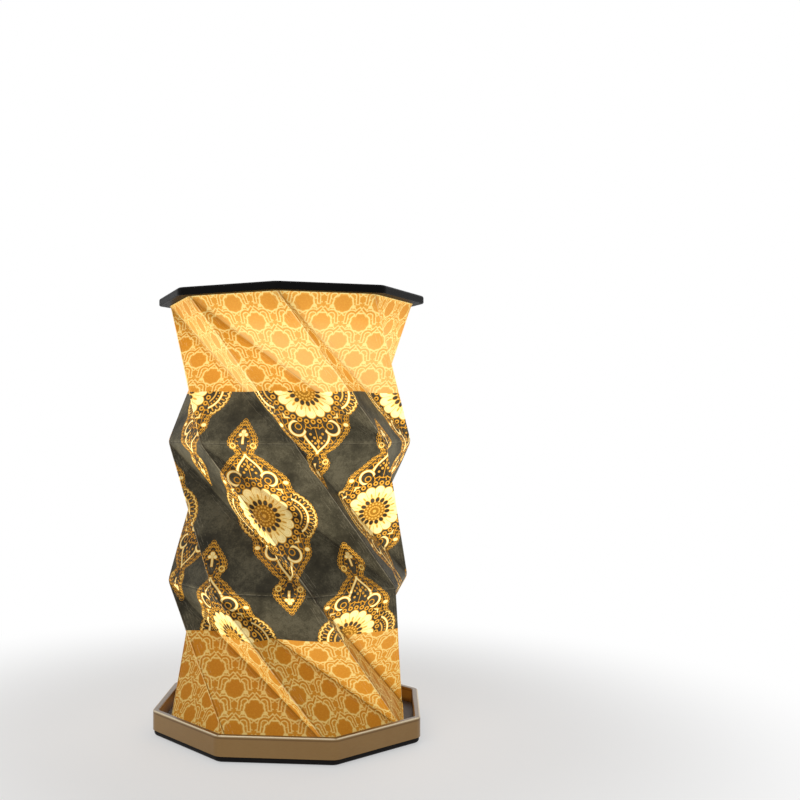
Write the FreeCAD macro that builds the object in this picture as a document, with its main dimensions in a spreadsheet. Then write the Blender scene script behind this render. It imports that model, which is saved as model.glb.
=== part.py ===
import FreeCAD, Part
import math
import os

import Sketcher

# A folding table lamp: an octagonal tray for a base, a shade folded from one
# sheet of stiff paper in three twisted tiers, and a thin octagonal lid that
# holds the lamp's light, battery, switch and charging socket.
#
# Millimetres. +Z is up. The origin is on the table, under the lamp's centre.
# The base's flats face +X, -X, +Y and -Y. The lid stands turned by half a
# side, so its corners point along the axes.

# ---------------------------------------------------------------- sizes

SIZES = {
    # base
    "base_flats": 128.0,        # across the flats of the metal frame
    "corner_round": 6.0,        # upright corners of base and lid
    "frame_height": 9.4,
    "frame_wall": 2.8,
    "rim_chamfer": 0.35,
    "lip_width": 6.0,           # ledge inside the frame that carries the floor
    "lip_height": 1.2,
    "floor_thick": 1.0,
    "floor_fit": 0.15,          # gap round the floor plate
    "cover_height": 2.8,
    "cover_inset": 0.6,         # the cover stands this far inside the frame
    "cover_plate": 0.8,
    "cover_round": 1.6,         # lower edge of the cover
    "ballast_gap": 0.8,         # round the ballast plate
    "ballast_headroom": 0.2,    # between the ballast plate and the floor
    "post_radius": 2.0,         # pegs that locate the ballast
    "post_reach": 30.0,
    "post_height": 1.6,
    "post_fit": 0.2,
    "foot_radius": 6.0,
    "foot_inset": 14.0,         # from the frame's flat to a foot's centre
    "foot_thick": 0.6,
    "foot_stand": 0.4,          # the cover clears the table by this much
    "foot_fit": 0.1,
    "cover_screw_shank": 0.95,
    "cover_screw_head": 2.0,
    "cover_screw_head_deep": 1.2,
    "cover_screw_sink": 0.3,
    "screw_fit": 0.1,
    "thread_fit": 0.05,
    # shade
    "paper_fit": 0.2,           # so the folded shade's corners turn inside the frame
    "tier_height": 68.0,
    "tier_twist": 52.5,         # turn of each fold ring over the one below
    "paper_thick": 0.4,
    "hem_width": 5.0,           # flap glued to the floor and to the lid
    # lid
    "lid_lap": 0.5,             # each flat rests this far onto the frame's rim
    "lid_skin": 1.0,
    "lid_wall": 1.8,
    "lid_round": 1.2,
    "lid_under_chamfer": 0.4,
    "panel_thick": 0.6,
    "panel_fit": 0.1,
    "boss_radius": 2.5,
    "boss_inset": 15.7,         # from the lid's flat to a boss's axis
    "lid_screw_shank": 0.75,
    "lid_screw_head": 1.7,
    "lid_screw_head_deep": 0.7,
    "lid_screw_length": 2.4,
    "badge_length": 34.0,
    "badge_width": 7.1,
    "badge_thick": 0.4,
    "badge_recess": 0.2,
    "badge_inset": 17.0,        # from the lid's flat to the plate's middle
    "badge_bearing": -67.5,
    "badge_fit": 0.05,
    "pin_spacing": 28.2,
    "pin_shank": 0.7,
    "pin_shank_length": 0.7,
    "pin_head": 1.05,
    "pin_head_thick": 0.25,
    # button
    "button_radius": 11.05,
    "button_gap": 0.25,
    "button_proud": 0.6,
    "button_chamfer": 0.35,
    "button_rest_gap": 0.1,     # between the flange and the lid's skin
    "button_travel": 0.5,
    "flange_reach": 1.2,
    "flange_thick": 0.6,
    "guide_gap": 0.2,
    "guide_wall": 1.0,
    # light module
    "module_wall": 1.4,
    "module_flange": 3.0,
    "module_flange_thick": 0.6,
    "module_hole_fit": 0.2,
    "web_ledge": 1.1,           # seats for the boards, above and below the middle ring
    "board_fit": 0.2,
    "control_board_thick": 0.8,
    "led_board_thick": 0.6,
    "diffuser_thick": 1.2,
    "diffuser_fit": 0.1,
    "diffuser_chamfer": 0.3,
    "battery_length": 28.0,
    "battery_width": 26.0,
    "battery_thick": 2.6,
    "battery_round": 1.5,
    "battery_clear": 0.4,       # from the cell's corners to the housing's middle ring
    "battery_headroom": 0.2,    # between the cell and the light board
    "tape_side": 18.0,
    "tape_thick": 0.2,
    "led_count": 12,
    "led_inset": 4.9,           # from the board's edge to the chips' middles
    "light_gap": 0.4,           # between the chips and the diffuser
    "led_length": 3.5,
    "led_width": 2.8,
    "led_height": 0.7,
    "switch_side": 6.0,
    "switch_height": 1.5,
    "switch_floor": 0.1,
    "plunger_radius": 1.5,
    "plunger_fit": 0.15,
    "plunger_clear": 0.1,       # left under the plunger when the button is pressed
    # charging socket
    "port_bearing": 112.5,
    "port_width": 7.5,
    "port_height": 2.45,
    "port_depth": 5.2,
    "port_wall": 0.3,
    "port_back": 0.8,
    "port_set_back": 0.2,
    "port_fit": 0.05,
    "port_cover": 0.7,          # what the lid's skin leaves over the socket
    "tongue_width": 4.8,
    "tongue_thick": 0.6,
    "tongue_set_back": 1.0,
    "charge_board_length": 9.0,
    "charge_board_width": 14.0,
    "charge_board_thick": 0.6,
    "charge_board_notch": 3.4,
    "lead_width": 5.0,
    "lead_thick": 0.2,
    "lead_overlap": 3.0,
    "connector_inset": 2.2,     # from the control board's edge
    "connector_length": 3.0,
    "connector_width": 6.0,
}

SIDES = 8
TIERS = 3
SCREWS = 4
FEET = 4
HALF_SIDE = 180.0 / SIDES       # degrees from a flat's middle to a corner

doc = FreeCAD.newDocument("folding_lamp")
sheet = doc.addObject("Spreadsheet::Sheet", "sizes")
for row, (alias, number) in enumerate(SIZES.items(), start=1):
    sheet.set(f"A{row}", alias)
    sheet.set(f"B{row}", str(number))
    sheet.setAlias(f"B{row}", alias)
doc.recompute()

# Levels that follow from the sizes, from the table up and then down from the lid.
COVER_Z = "sizes.foot_stand"
FRAME_Z = f"({COVER_Z} + sizes.cover_height)"
FLOOR_Z = f"({FRAME_Z} + sizes.lip_height)"
PAPER_Z = f"({FLOOR_Z} + sizes.floor_thick)"
RIM_Z = f"({FRAME_Z} + sizes.frame_height)"
PANEL_Z = f"({PAPER_Z} + {TIERS} * sizes.tier_height)"
CAVITY_Z = f"({PANEL_Z} + sizes.panel_thick)"
TOP_Z = f"({CAVITY_Z} + sizes.port_height + sizes.port_fit + sizes.port_cover)"
SKIN_Z = f"({TOP_Z} - sizes.lid_skin)"
FLANGE_TOP_Z = f"({SKIN_Z} - sizes.button_rest_gap)"
FLANGE_Z = f"({FLANGE_TOP_Z} - sizes.flange_thick)"
SWITCH_TOP_Z = f"({FLANGE_Z} - sizes.button_travel - sizes.guide_gap)"
CONTROL_TOP_Z = f"({SWITCH_TOP_Z} - sizes.switch_height)"
WEB_TOP_Z = f"({CONTROL_TOP_Z} - sizes.control_board_thick)"
BATTERY_Z = f"({WEB_TOP_Z} - sizes.tape_thick - sizes.battery_thick)"
WEB_Z = f"({BATTERY_Z} - sizes.battery_headroom)"
LED_BOARD_Z = f"({WEB_Z} - sizes.led_board_thick)"
CHIPS_Z = f"({LED_BOARD_Z} - sizes.led_height)"
MODULE_Z = f"({CHIPS_Z} - sizes.light_gap - sizes.diffuser_thick)"

# Widths and reaches that follow from the sizes.
TRAY_FLATS = "(sizes.base_flats - 2 * sizes.frame_wall)"
LIP_FLATS = f"({TRAY_FLATS} - 2 * sizes.lip_width)"
COVER_SCREW_REACH = f"({LIP_FLATS} / 2 + sizes.lip_width / 2)"
FOOT_REACH = "(sizes.base_flats / 2 - sizes.foot_inset)"
BALLAST_THICK = (
    "(sizes.cover_height - sizes.cover_plate + sizes.lip_height - sizes.ballast_headroom)"
)
PAPER_RADIUS = f"({TRAY_FLATS} / 2 - sizes.paper_fit)"
LID_FLATS = f"({TRAY_FLATS} + 2 * sizes.lid_lap)"
BOSS_REACH = f"({LID_FLATS} / 2 - sizes.boss_inset)"
BADGE_REACH = f"({LID_FLATS} / 2 - sizes.badge_inset)"
FLANGE_RADIUS = "(sizes.button_radius + sizes.flange_reach)"
GUIDE_RADIUS = f"({FLANGE_RADIUS} + sizes.guide_gap)"
GUIDE_HEIGHT = (
    "(sizes.button_rest_gap + sizes.flange_thick + sizes.button_travel + sizes.guide_gap)"
)
PLUNGER_LENGTH = (
    "(sizes.guide_gap + sizes.switch_height - sizes.switch_floor - sizes.plunger_clear)"
)
BATTERY_CORNER = "sqrt(pow(sizes.battery_length; 2) + pow(sizes.battery_width; 2)) / 2"
WEB_BORE = f"({BATTERY_CORNER} + sizes.battery_clear)"
BOARD_BORE = f"({WEB_BORE} + sizes.web_ledge)"
BOARD_RADIUS = f"({BOARD_BORE} - sizes.board_fit)"
MODULE_RADIUS = f"({BOARD_BORE} + sizes.module_wall)"
PORT_X = f"({LID_FLATS} / 2 - sizes.port_set_back - sizes.port_depth)"
CONNECTOR_REACH = (
    f"({BOARD_RADIUS} - sizes.connector_inset - sizes.connector_length)"
)


# ---------------------------------------------------------------- helpers

def value(expression):
    """The number that an expression of the sheet's values comes to."""
    result = sheet.evalExpression(expression)
    return float(getattr(result, "Value", result))


def new_body(label):
    body = doc.addObject("PartDesign::Body", label)
    body.Label = label
    body.AllowCompound = True
    return body


def origin_part(body, role):
    for feature in body.Origin.OriginFeatures:
        if feature.Role == role:
            return feature
    raise ValueError(role)


def sketch_at(body, level, turn="0"):
    """A level sketch at a height, turned about the upright axis by degrees."""
    sketch = body.newObject("Sketcher::SketchObject", f"{body.Label}_sketch")
    sketch.AttachmentSupport = [(origin_part(body, "XY_Plane"), "")]
    sketch.MapMode = "FlatFace"
    sketch.AttachmentOffset = FreeCAD.Placement(
        FreeCAD.Vector(0, 0, value(level)),
        FreeCAD.Rotation(FreeCAD.Vector(0, 0, 1), value(turn)),
    )
    sketch.setExpression("AttachmentOffset.Base.z", level)
    return sketch


def drive(sketch, constraint, name, expression):
    """Add a dimension to a sketch, name it and tie it to an expression."""
    index = sketch.addConstraint(constraint)
    sketch.renameConstraint(index, name)
    sketch.setExpression(f"Constraints.{name}", expression)


def octagon(sketch, flats, corner_on_axis=False):
    """A regular octagon, with a flat or a corner facing along the X axis."""
    radius = value(flats) / 2 / math.cos(math.radians(HALF_SIDE))
    first = 0.0 if corner_on_axis else HALF_SIDE
    corners = []
    for side in range(SIDES):
        angle = math.radians(first + side * 2 * HALF_SIDE)
        corners.append(FreeCAD.Vector(radius * math.cos(angle), radius * math.sin(angle), 0))
    for side in range(SIDES):
        following = corners[(side + 1) % SIDES]
        sketch.addGeometry(Part.LineSegment(corners[side], following), False)
    ring = Part.Circle(FreeCAD.Vector(0, 0, 0), FreeCAD.Vector(0, 0, 1), radius)
    circle = sketch.addGeometry(ring, True)
    sketch.addConstraint(Sketcher.Constraint("Coincident", circle, 3, -1, 1))
    for side in range(SIDES):
        following = (side + 1) % SIDES
        sketch.addConstraint(Sketcher.Constraint("Coincident", side, 2, following, 1))
        sketch.addConstraint(Sketcher.Constraint("PointOnObject", side, 1, circle))
        if side:
            sketch.addConstraint(Sketcher.Constraint("Equal", 0, side))
    if corner_on_axis:
        sketch.addConstraint(Sketcher.Constraint("PointOnObject", 0, 1, -1))
    else:
        sketch.addConstraint(Sketcher.Constraint("Vertical", SIDES - 1))
    radius_limit = Sketcher.Constraint("Radius", circle, radius)
    drive(sketch, radius_limit, "corner_radius", f"({flats}) / 2 / cos({HALF_SIDE} deg)")


def disc(sketch, radius, reach="0"):
    """A circle about the origin, or about a point out along the X axis."""
    number = len(sketch.Geometry)
    centre = FreeCAD.Vector(value(reach), 0, 0)
    ring = Part.Circle(centre, FreeCAD.Vector(0, 0, 1), value(radius))
    circle = sketch.addGeometry(ring, False)
    if reach == "0":
        sketch.addConstraint(Sketcher.Constraint("Coincident", circle, 3, -1, 1))
    else:
        sketch.addConstraint(Sketcher.Constraint("PointOnObject", circle, 3, -1))
        distance = Sketcher.Constraint("DistanceX", -1, 1, circle, 3, value(reach))
        drive(sketch, distance, f"reach_{number}", reach)
    limit = Sketcher.Constraint("Radius", circle, value(radius))
    drive(sketch, limit, f"radius_{number}", radius)


def rectangle(sketch, start, length, width):
    """A rectangle along the X axis, even about it, from a start out."""
    near = value(start)
    far = near + value(length)
    half = value(width) / 2
    corners = [
        FreeCAD.Vector(near, -half, 0),
        FreeCAD.Vector(far, -half, 0),
        FreeCAD.Vector(far, half, 0),
        FreeCAD.Vector(near, half, 0),
    ]
    for side in range(4):
        following = corners[(side + 1) % 4]
        sketch.addGeometry(Part.LineSegment(corners[side], following), False)
    for side in range(4):
        sketch.addConstraint(Sketcher.Constraint("Coincident", side, 2, (side + 1) % 4, 1))
    sketch.addConstraint(Sketcher.Constraint("Horizontal", 0))
    sketch.addConstraint(Sketcher.Constraint("Vertical", 1))
    sketch.addConstraint(Sketcher.Constraint("Horizontal", 2))
    sketch.addConstraint(Sketcher.Constraint("Symmetric", 0, 1, 3, 1, -1))
    drive(sketch, Sketcher.Constraint("DistanceX", -1, 1, 0, 1, near), "start", start)
    drive(sketch, Sketcher.Constraint("DistanceX", 0, 1, 0, 2, far - near), "long", length)
    drive(sketch, Sketcher.Constraint("DistanceY", 1, 1, 1, 2, 2 * half), "wide", width)


def obround(sketch, length, width, reach):
    """A plate outline with round ends, lying across the X axis at a reach."""
    radius = value(width) / 2
    half = value(length) / 2 - radius
    middle = value(reach)
    up = FreeCAD.Vector(0, 0, 1)
    upper = Part.Circle(FreeCAD.Vector(middle, half, 0), up, radius)
    lower = Part.Circle(FreeCAD.Vector(middle, -half, 0), up, radius)
    sketch.addGeometry(Part.ArcOfCircle(upper, 0, math.pi), False)
    sketch.addGeometry(Part.ArcOfCircle(lower, math.pi, 2 * math.pi), False)
    for side in (-radius, radius):
        ends = [FreeCAD.Vector(middle + side, y, 0) for y in (half, -half)]
        sketch.addGeometry(Part.LineSegment(*ends), False)
    sketch.addConstraint(Sketcher.Constraint("Tangent", 0, 2, 2, 1))
    sketch.addConstraint(Sketcher.Constraint("Tangent", 2, 2, 1, 1))
    sketch.addConstraint(Sketcher.Constraint("Tangent", 1, 2, 3, 2))
    sketch.addConstraint(Sketcher.Constraint("Tangent", 3, 1, 0, 1))
    sketch.addConstraint(Sketcher.Constraint("Vertical", 2))
    sketch.addConstraint(Sketcher.Constraint("Symmetric", 0, 3, 1, 3, -1))
    drive(sketch, Sketcher.Constraint("Radius", 0, radius), "end_radius", f"({width}) / 2")
    drive(sketch, Sketcher.Constraint("DistanceX", -1, 1, 0, 3, middle), "reach", reach)
    apart = Sketcher.Constraint("DistanceY", 1, 3, 0, 3, 2 * half)
    drive(sketch, apart, "ends_apart", f"({length}) - ({width})")


def pad(body, sketch, length, down=False):
    feature = body.newObject("PartDesign::Pad", f"{body.Label}_pad")
    feature.Profile = sketch
    feature.Reversed = down
    feature.setExpression("Length", length)
    doc.recompute()
    return feature


def pocket(body, sketch, depth, up=False):
    """Cut downwards from a sketch, or upwards, and see that it cut."""
    before = body.Shape.Volume
    feature = body.newObject("PartDesign::Pocket", f"{body.Label}_pocket")
    feature.Profile = sketch
    feature.Reversed = up
    feature.setExpression("Length", depth)
    doc.recompute()
    if body.Shape.Volume > before - 1e-6:
        raise RuntimeError(f"{feature.Label} cuts nothing")
    return feature


def around(body, features, count):
    """Repeat features evenly about the upright axis."""
    feature = body.newObject("PartDesign::PolarPattern", f"{body.Label}_around")
    feature.Originals = features
    feature.Axis = (origin_part(body, "Z_Axis"), [""])
    feature.Angle = 360
    feature.Occurrences = count
    body.Tip = feature
    doc.recompute()
    return feature


def edges_of(feature, chosen):
    names = []
    for number, edge in enumerate(feature.Shape.Edges, start=1):
        if chosen(edge):
            names.append(f"Edge{number}")
    return names


def upright(edge):
    """Whether an edge is a straight upright one."""
    ends = edge.Vertexes
    if len(ends) != 2:
        return False
    run = ends[1].Point - ends[0].Point
    return math.hypot(run.x, run.y) < 1e-6


def reach_of(edge):
    point = edge.Vertexes[0].Point
    return math.hypot(point.x, point.y)


def level_at(edge, height):
    box = edge.BoundBox
    return abs(box.ZMin - height) < 1e-6 and abs(box.ZMax - height) < 1e-6


def fillet(body, feature, chosen, radius):
    rounded = body.newObject("PartDesign::Fillet", f"{body.Label}_fillet")
    rounded.Base = (feature, edges_of(feature, chosen))
    rounded.setExpression("Radius", radius)
    doc.recompute()
    return rounded


def chamfer(body, feature, chosen, size):
    bevelled = body.newObject("PartDesign::Chamfer", f"{body.Label}_chamfer")
    bevelled.Base = (feature, edges_of(feature, chosen))
    bevelled.setExpression("Size", size)
    doc.recompute()
    return bevelled


def plate(body, flats, level, height, corner_on_axis=False, rounding="sizes.corner_round"):
    """An octagonal plate with rounded upright corners."""
    outline = sketch_at(body, level)
    octagon(outline, flats, corner_on_axis)
    block = pad(body, outline, height)
    return fillet(body, block, upright, rounding)


def place(item, x="0", y="0", z="0", bearing=None):
    """Set a primitive's place, at a bearing in degrees about the upright axis."""
    if bearing is None:
        item.setExpression("Placement.Base.x", x)
        item.setExpression("Placement.Base.y", y)
    else:
        item.Placement = FreeCAD.Placement(
            FreeCAD.Vector(), FreeCAD.Rotation(FreeCAD.Vector(0, 0, 1), value(bearing))
        )
        turn = f"({bearing}) * 1 deg"
        item.setExpression("Placement.Base.x", f"({x}) * cos({turn}) - ({y}) * sin({turn})")
        item.setExpression("Placement.Base.y", f"({x}) * sin({turn}) + ({y}) * cos({turn})")
    item.setExpression("Placement.Base.z", z)


def box(label, start, length, width, level, height, bearing=None):
    """A block along its bearing, even about it, from a start out."""
    item = doc.addObject("Part::Box", label)
    item.Label = label
    item.setExpression("Length", length)
    item.setExpression("Width", width)
    item.setExpression("Height", height)
    place(item, start, f"-({width}) / 2", level, bearing)
    return item


def cylinder(label, radius, level, height, reach="0", bearing="0"):
    item = doc.addObject("Part::Cylinder", label)
    item.Label = label
    item.setExpression("Radius", radius)
    item.setExpression("Height", height)
    place(item, reach, "0", level, bearing)
    return item


def joined(label, kind, first, second):
    """A Part::Cut or Part::Fuse of two objects."""
    item = doc.addObject(kind, label)
    item.Label = label
    item.Base = first
    item.Tool = second
    return item


def compound(label, items):
    item = doc.addObject("Part::Compound", label)
    item.Label = label
    item.Links = items
    return item


# ---------------------------------------------------------------- base

def make_base_frame():
    """The metal band: a tall octagonal wall with a ledge round its foot."""
    body = new_body("base_frame")
    plate(body, "sizes.base_flats", FRAME_Z, "sizes.frame_height")
    tray = sketch_at(body, RIM_Z)
    octagon(tray, TRAY_FLATS)
    hollow = pocket(body, tray, "sizes.frame_height - sizes.lip_height")
    tray_corner = value(TRAY_FLATS) / 2 / math.cos(math.radians(HALF_SIDE))
    hollow = fillet(
        body,
        hollow,
        lambda edge: upright(edge) and abs(reach_of(edge) - tray_corner) < 1e-3,
        "sizes.corner_round - sizes.frame_wall",
    )
    opening = sketch_at(body, FLOOR_Z)
    octagon(opening, LIP_FLATS)
    hollow = pocket(body, opening, "sizes.lip_height")
    rim = value(RIM_Z)
    chamfer(body, hollow, lambda edge: level_at(edge, rim), "sizes.rim_chamfer")
    hole = sketch_at(body, FLOOR_Z)
    disc(hole, "sizes.cover_screw_shank + sizes.thread_fit", COVER_SCREW_REACH)
    drilled = pocket(body, hole, "sizes.lip_height")
    around(body, [drilled], SCREWS)
    return body


def make_tray_floor():
    """The plate on the ledge, that the shade's lower hem is glued to."""
    body = new_body("tray_floor")
    flats = f"{TRAY_FLATS} - 2 * sizes.floor_fit"
    plate(body, flats, FLOOR_Z, "sizes.floor_thick",
          rounding="sizes.corner_round - sizes.frame_wall")
    return body


def make_bottom_cover():
    """The dark pan that closes the base, with feet and ballast seated in it."""
    body = new_body("bottom_cover")
    flats = "sizes.base_flats - 2 * sizes.cover_inset"
    block = plate(body, flats, COVER_Z, "sizes.cover_height",
                  rounding="sizes.corner_round - sizes.cover_inset")
    foot = value(COVER_Z)
    fillet(body, block, lambda edge: level_at(edge, foot), "sizes.cover_round")
    well = sketch_at(body, FRAME_Z)
    octagon(well, LIP_FLATS)
    pocket(body, well, "sizes.cover_height - sizes.cover_plate")
    peg = sketch_at(body, f"{COVER_Z} + sizes.cover_plate")
    disc(peg, "sizes.post_radius", "sizes.post_reach")
    peg = pad(body, peg, "sizes.post_height")
    around(body, [peg], 2)
    head = sketch_at(body, COVER_Z)
    disc(head, "sizes.cover_screw_head + sizes.screw_fit", COVER_SCREW_REACH)
    sink = "sizes.cover_screw_sink + sizes.cover_screw_head_deep"
    head = pocket(body, head, sink, up=True)
    around(body, [head], SCREWS)
    shank = sketch_at(body, COVER_Z)
    disc(shank, "sizes.cover_screw_shank + sizes.screw_fit", COVER_SCREW_REACH)
    shank = pocket(body, shank, "sizes.cover_height", up=True)
    around(body, [shank], SCREWS)
    seat = sketch_at(body, COVER_Z, "45")
    disc(seat, "sizes.foot_radius + sizes.foot_fit", FOOT_REACH)
    seat = pocket(body, seat, "sizes.foot_thick - sizes.foot_stand", up=True)
    around(body, [seat], FEET)
    return body


def make_ballast_plate():
    """A steel plate inside the base, dropped over the cover's pegs."""
    body = new_body("ballast_plate")
    level = f"{COVER_Z} + sizes.cover_plate"
    flats = f"{LIP_FLATS} - 2 * sizes.ballast_gap"
    plate(body, flats, level, BALLAST_THICK, rounding="sizes.frame_wall")
    hole = sketch_at(body, f"{level} + {BALLAST_THICK}")
    disc(hole, "sizes.post_radius + sizes.post_fit", "sizes.post_reach")
    hole = pocket(body, hole, BALLAST_THICK)
    around(body, [hole], 2)
    return body


def make_cover_screws():
    body = new_body("cover_screws")
    start = f"{COVER_Z} + sizes.cover_screw_sink"
    head = sketch_at(body, start)
    disc(head, "sizes.cover_screw_head", COVER_SCREW_REACH)
    head = pad(body, head, "sizes.cover_screw_head_deep")
    shank = sketch_at(body, start)
    disc(shank, "sizes.cover_screw_shank", COVER_SCREW_REACH)
    length = "sizes.cover_height - sizes.cover_screw_sink + sizes.lip_height"
    shank = pad(body, shank, length)
    around(body, [head, shank], SCREWS)
    return body


def make_rubber_feet():
    body = new_body("rubber_feet")
    pads = sketch_at(body, "0", "45")
    disc(pads, "sizes.foot_radius", FOOT_REACH)
    pads = pad(body, pads, "sizes.foot_thick")
    around(body, [pads], FEET)
    return body


# ---------------------------------------------------------------- shade

def fold_ring(level, turn, radius):
    """The eight corners of one fold ring."""
    corners = []
    for side in range(SIDES):
        angle = math.radians(turn + side * 2 * HALF_SIDE)
        corners.append(FreeCAD.Vector(radius * math.cos(angle), radius * math.sin(angle), level))
    return corners


def facet(*corners):
    return Part.Face(Part.makePolygon([*corners, corners[0]]))


def fold_skin(radius, heights):
    """The creased faces between fold rings, for corners at a radius.

    Each ring is turned over the one below, so each side of a tier creases
    into two triangles: a ridge along the short diagonal, a valley along the
    long one.
    """
    twist = value("sizes.tier_twist")
    rings = [fold_ring(z, HALF_SIDE - tier * twist, radius) for tier, z in enumerate(heights)]
    faces = []
    for lower, upper in zip(rings, rings[1:]):
        for side in range(SIDES):
            following = (side + 1) % SIDES
            faces.append(facet(lower[side], lower[following], upper[side]))
            faces.append(facet(upper[side], lower[following], upper[following]))
    return faces, rings


def folded_tube(radius, heights):
    """A closed solid that fills the shade out to its creased faces."""
    faces, rings = fold_skin(radius, heights)
    faces.append(facet(*rings[0]))
    faces.append(facet(*rings[-1]))
    solid = Part.Solid(Part.Shell(faces))
    if solid.Volume < 0:
        solid.reverse()
    return solid


def make_paper_shade():
    """One folded sheet in three twisted tiers, with a glued hem at each end."""
    bottom = value(PAPER_Z)
    tier = value("sizes.tier_height")
    radius = value(PAPER_RADIUS)
    thick = value("sizes.paper_thick")
    hem = value("sizes.hem_width")
    heights = [bottom + number * tier for number in range(TIERS + 1)]
    outer = folded_tube(radius, heights)
    inner = folded_tube(radius - thick / math.cos(math.radians(HALF_SIDE)), heights)
    paper = outer.cut(inner)
    window_radius = radius - hem / math.cos(math.radians(HALF_SIDE))
    height = heights[-1] - heights[0]
    for level, tier_number in ((heights[0], 0), (heights[-1] - thick, TIERS)):
        turn = HALF_SIDE - tier_number * value("sizes.tier_twist")
        window = facet(*fold_ring(level, turn, window_radius))
        slab = Part.makeBox(4 * radius, 4 * radius, thick,
                            FreeCAD.Vector(-2 * radius, -2 * radius, level))
        hem_ring = outer.common(slab).cut(window.extrude(FreeCAD.Vector(0, 0, thick)))
        paper = paper.fuse(hem_ring)
    paper = paper.removeSplitter()
    if abs(paper.BoundBox.ZLength - height) > 1e-6 or len(paper.Solids) != 1:
        raise RuntimeError("the shade isn't one sheet from floor to lid")
    item = doc.addObject("Part::Feature", "paper_shade")
    item.Label = "paper_shade"
    item.Shape = paper.Solids[0]
    item.Placement = FreeCAD.Placement()
    return item


# ---------------------------------------------------------------- lid

def add_pin_circles(sketch):
    """The badge's two pin holes, one at each end of the plate."""
    for number, side in enumerate((-1, 1)):
        centre = FreeCAD.Vector(value(BADGE_REACH), side * value("sizes.pin_spacing") / 2, 0)
        ring = Part.Circle(centre, FreeCAD.Vector(0, 0, 1), value("sizes.pin_shank"))
        circle = sketch.addGeometry(ring, False)
        radius = Sketcher.Constraint("Radius", circle, ring.Radius)
        drive(sketch, radius, f"pin_{number}", "sizes.pin_shank + sizes.badge_fit")
        out = Sketcher.Constraint("DistanceX", -1, 1, circle, 3, centre.x)
        drive(sketch, out, f"pin_out_{number}", BADGE_REACH)
        aside = Sketcher.Constraint("DistanceY", -1, 1, circle, 3, centre.y)
        drive(sketch, aside, f"pin_aside_{number}", f"{side} * sizes.pin_spacing / 2")


def make_lid_shell():
    """The lid's thin shell, open below, with the button's hole in its skin."""
    body = new_body("lid_shell")
    block = plate(body, LID_FLATS, PANEL_Z, f"{TOP_Z} - {PANEL_Z}", corner_on_axis=True)
    top = value(TOP_Z)
    block = fillet(body, block, lambda edge: level_at(edge, top), "sizes.lid_round")
    foot = value(PANEL_Z)
    chamfer(body, block, lambda edge: level_at(edge, foot), "sizes.lid_under_chamfer")
    cavity = sketch_at(body, PANEL_Z)
    octagon(cavity, f"{LID_FLATS} - 2 * sizes.lid_wall", corner_on_axis=True)
    pocket(body, cavity, f"{SKIN_Z} - {PANEL_Z}", up=True)
    hole = sketch_at(body, TOP_Z)
    disc(hole, "sizes.button_radius + sizes.button_gap")
    pocket(body, hole, "sizes.lid_skin")
    guide = sketch_at(body, SKIN_Z)
    disc(guide, GUIDE_RADIUS)
    disc(guide, f"{GUIDE_RADIUS} + sizes.guide_wall")
    pad(body, guide, GUIDE_HEIGHT, down=True)
    boss = sketch_at(body, SKIN_Z)
    disc(boss, "sizes.boss_radius", BOSS_REACH)
    boss = pad(body, boss, f"{SKIN_Z} - {CAVITY_Z}", down=True)
    around(body, [boss], SCREWS)
    thread = sketch_at(body, CAVITY_Z)
    disc(thread, "sizes.lid_screw_shank + sizes.thread_fit", BOSS_REACH)
    thread = pocket(body, thread, "sizes.lid_screw_length - sizes.panel_thick + sizes.screw_fit",
                    up=True)
    around(body, [thread], SCREWS)
    badge = sketch_at(body, TOP_Z, "sizes.badge_bearing")
    obround(badge, "sizes.badge_length + 2 * sizes.badge_fit",
            "sizes.badge_width + 2 * sizes.badge_fit", BADGE_REACH)
    pocket(body, badge, "sizes.badge_recess")
    port = sketch_at(body, CAVITY_Z, "sizes.port_bearing")
    rectangle(port, f"{PORT_X} - sizes.port_fit", "sizes.port_depth + sizes.lid_wall",
              "sizes.port_width + 2 * sizes.port_fit")
    pocket(body, port, "sizes.port_height + sizes.port_fit", up=True)
    pins = sketch_at(body, TOP_Z, "sizes.badge_bearing")
    add_pin_circles(pins)
    pocket(body, pins, "sizes.badge_recess + sizes.pin_shank_length - sizes.badge_thick"
                       " + sizes.screw_fit")
    return body


def make_lid_panel():
    """The inner plate that closes the lid from below."""
    body = new_body("lid_panel")
    flats = f"{LID_FLATS} - 2 * sizes.lid_wall - 2 * sizes.panel_fit"
    outline = sketch_at(body, PANEL_Z)
    octagon(outline, flats, corner_on_axis=True)
    pad(body, outline, "sizes.panel_thick")
    hole = sketch_at(body, CAVITY_Z)
    disc(hole, f"{MODULE_RADIUS} + sizes.module_hole_fit")
    pocket(body, hole, "sizes.panel_thick")
    shank = sketch_at(body, CAVITY_Z)
    disc(shank, "sizes.lid_screw_shank + sizes.screw_fit", BOSS_REACH)
    shank = pocket(body, shank, "sizes.panel_thick")
    around(body, [shank], SCREWS)
    return body


def make_lid_screws():
    body = new_body("lid_screws")
    head = sketch_at(body, PANEL_Z)
    disc(head, "sizes.lid_screw_head", BOSS_REACH)
    head = pad(body, head, "sizes.lid_screw_head_deep", down=True)
    shank = sketch_at(body, PANEL_Z)
    disc(shank, "sizes.lid_screw_shank", BOSS_REACH)
    shank = pad(body, shank, "sizes.lid_screw_length")
    around(body, [head, shank], SCREWS)
    return body


def make_badge_plate():
    """A bare plate with round ends, let a little way into the lid."""
    body = new_body("badge_plate")
    outline = sketch_at(body, f"{TOP_Z} - sizes.badge_recess", "sizes.badge_bearing")
    obround(outline, "sizes.badge_length", "sizes.badge_width", BADGE_REACH)
    pad(body, outline, "sizes.badge_thick")
    pins = sketch_at(body, f"{TOP_Z} - sizes.badge_recess + sizes.badge_thick",
                     "sizes.badge_bearing")
    add_pin_circles(pins)
    pocket(body, pins, "sizes.badge_thick")
    return body


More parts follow.
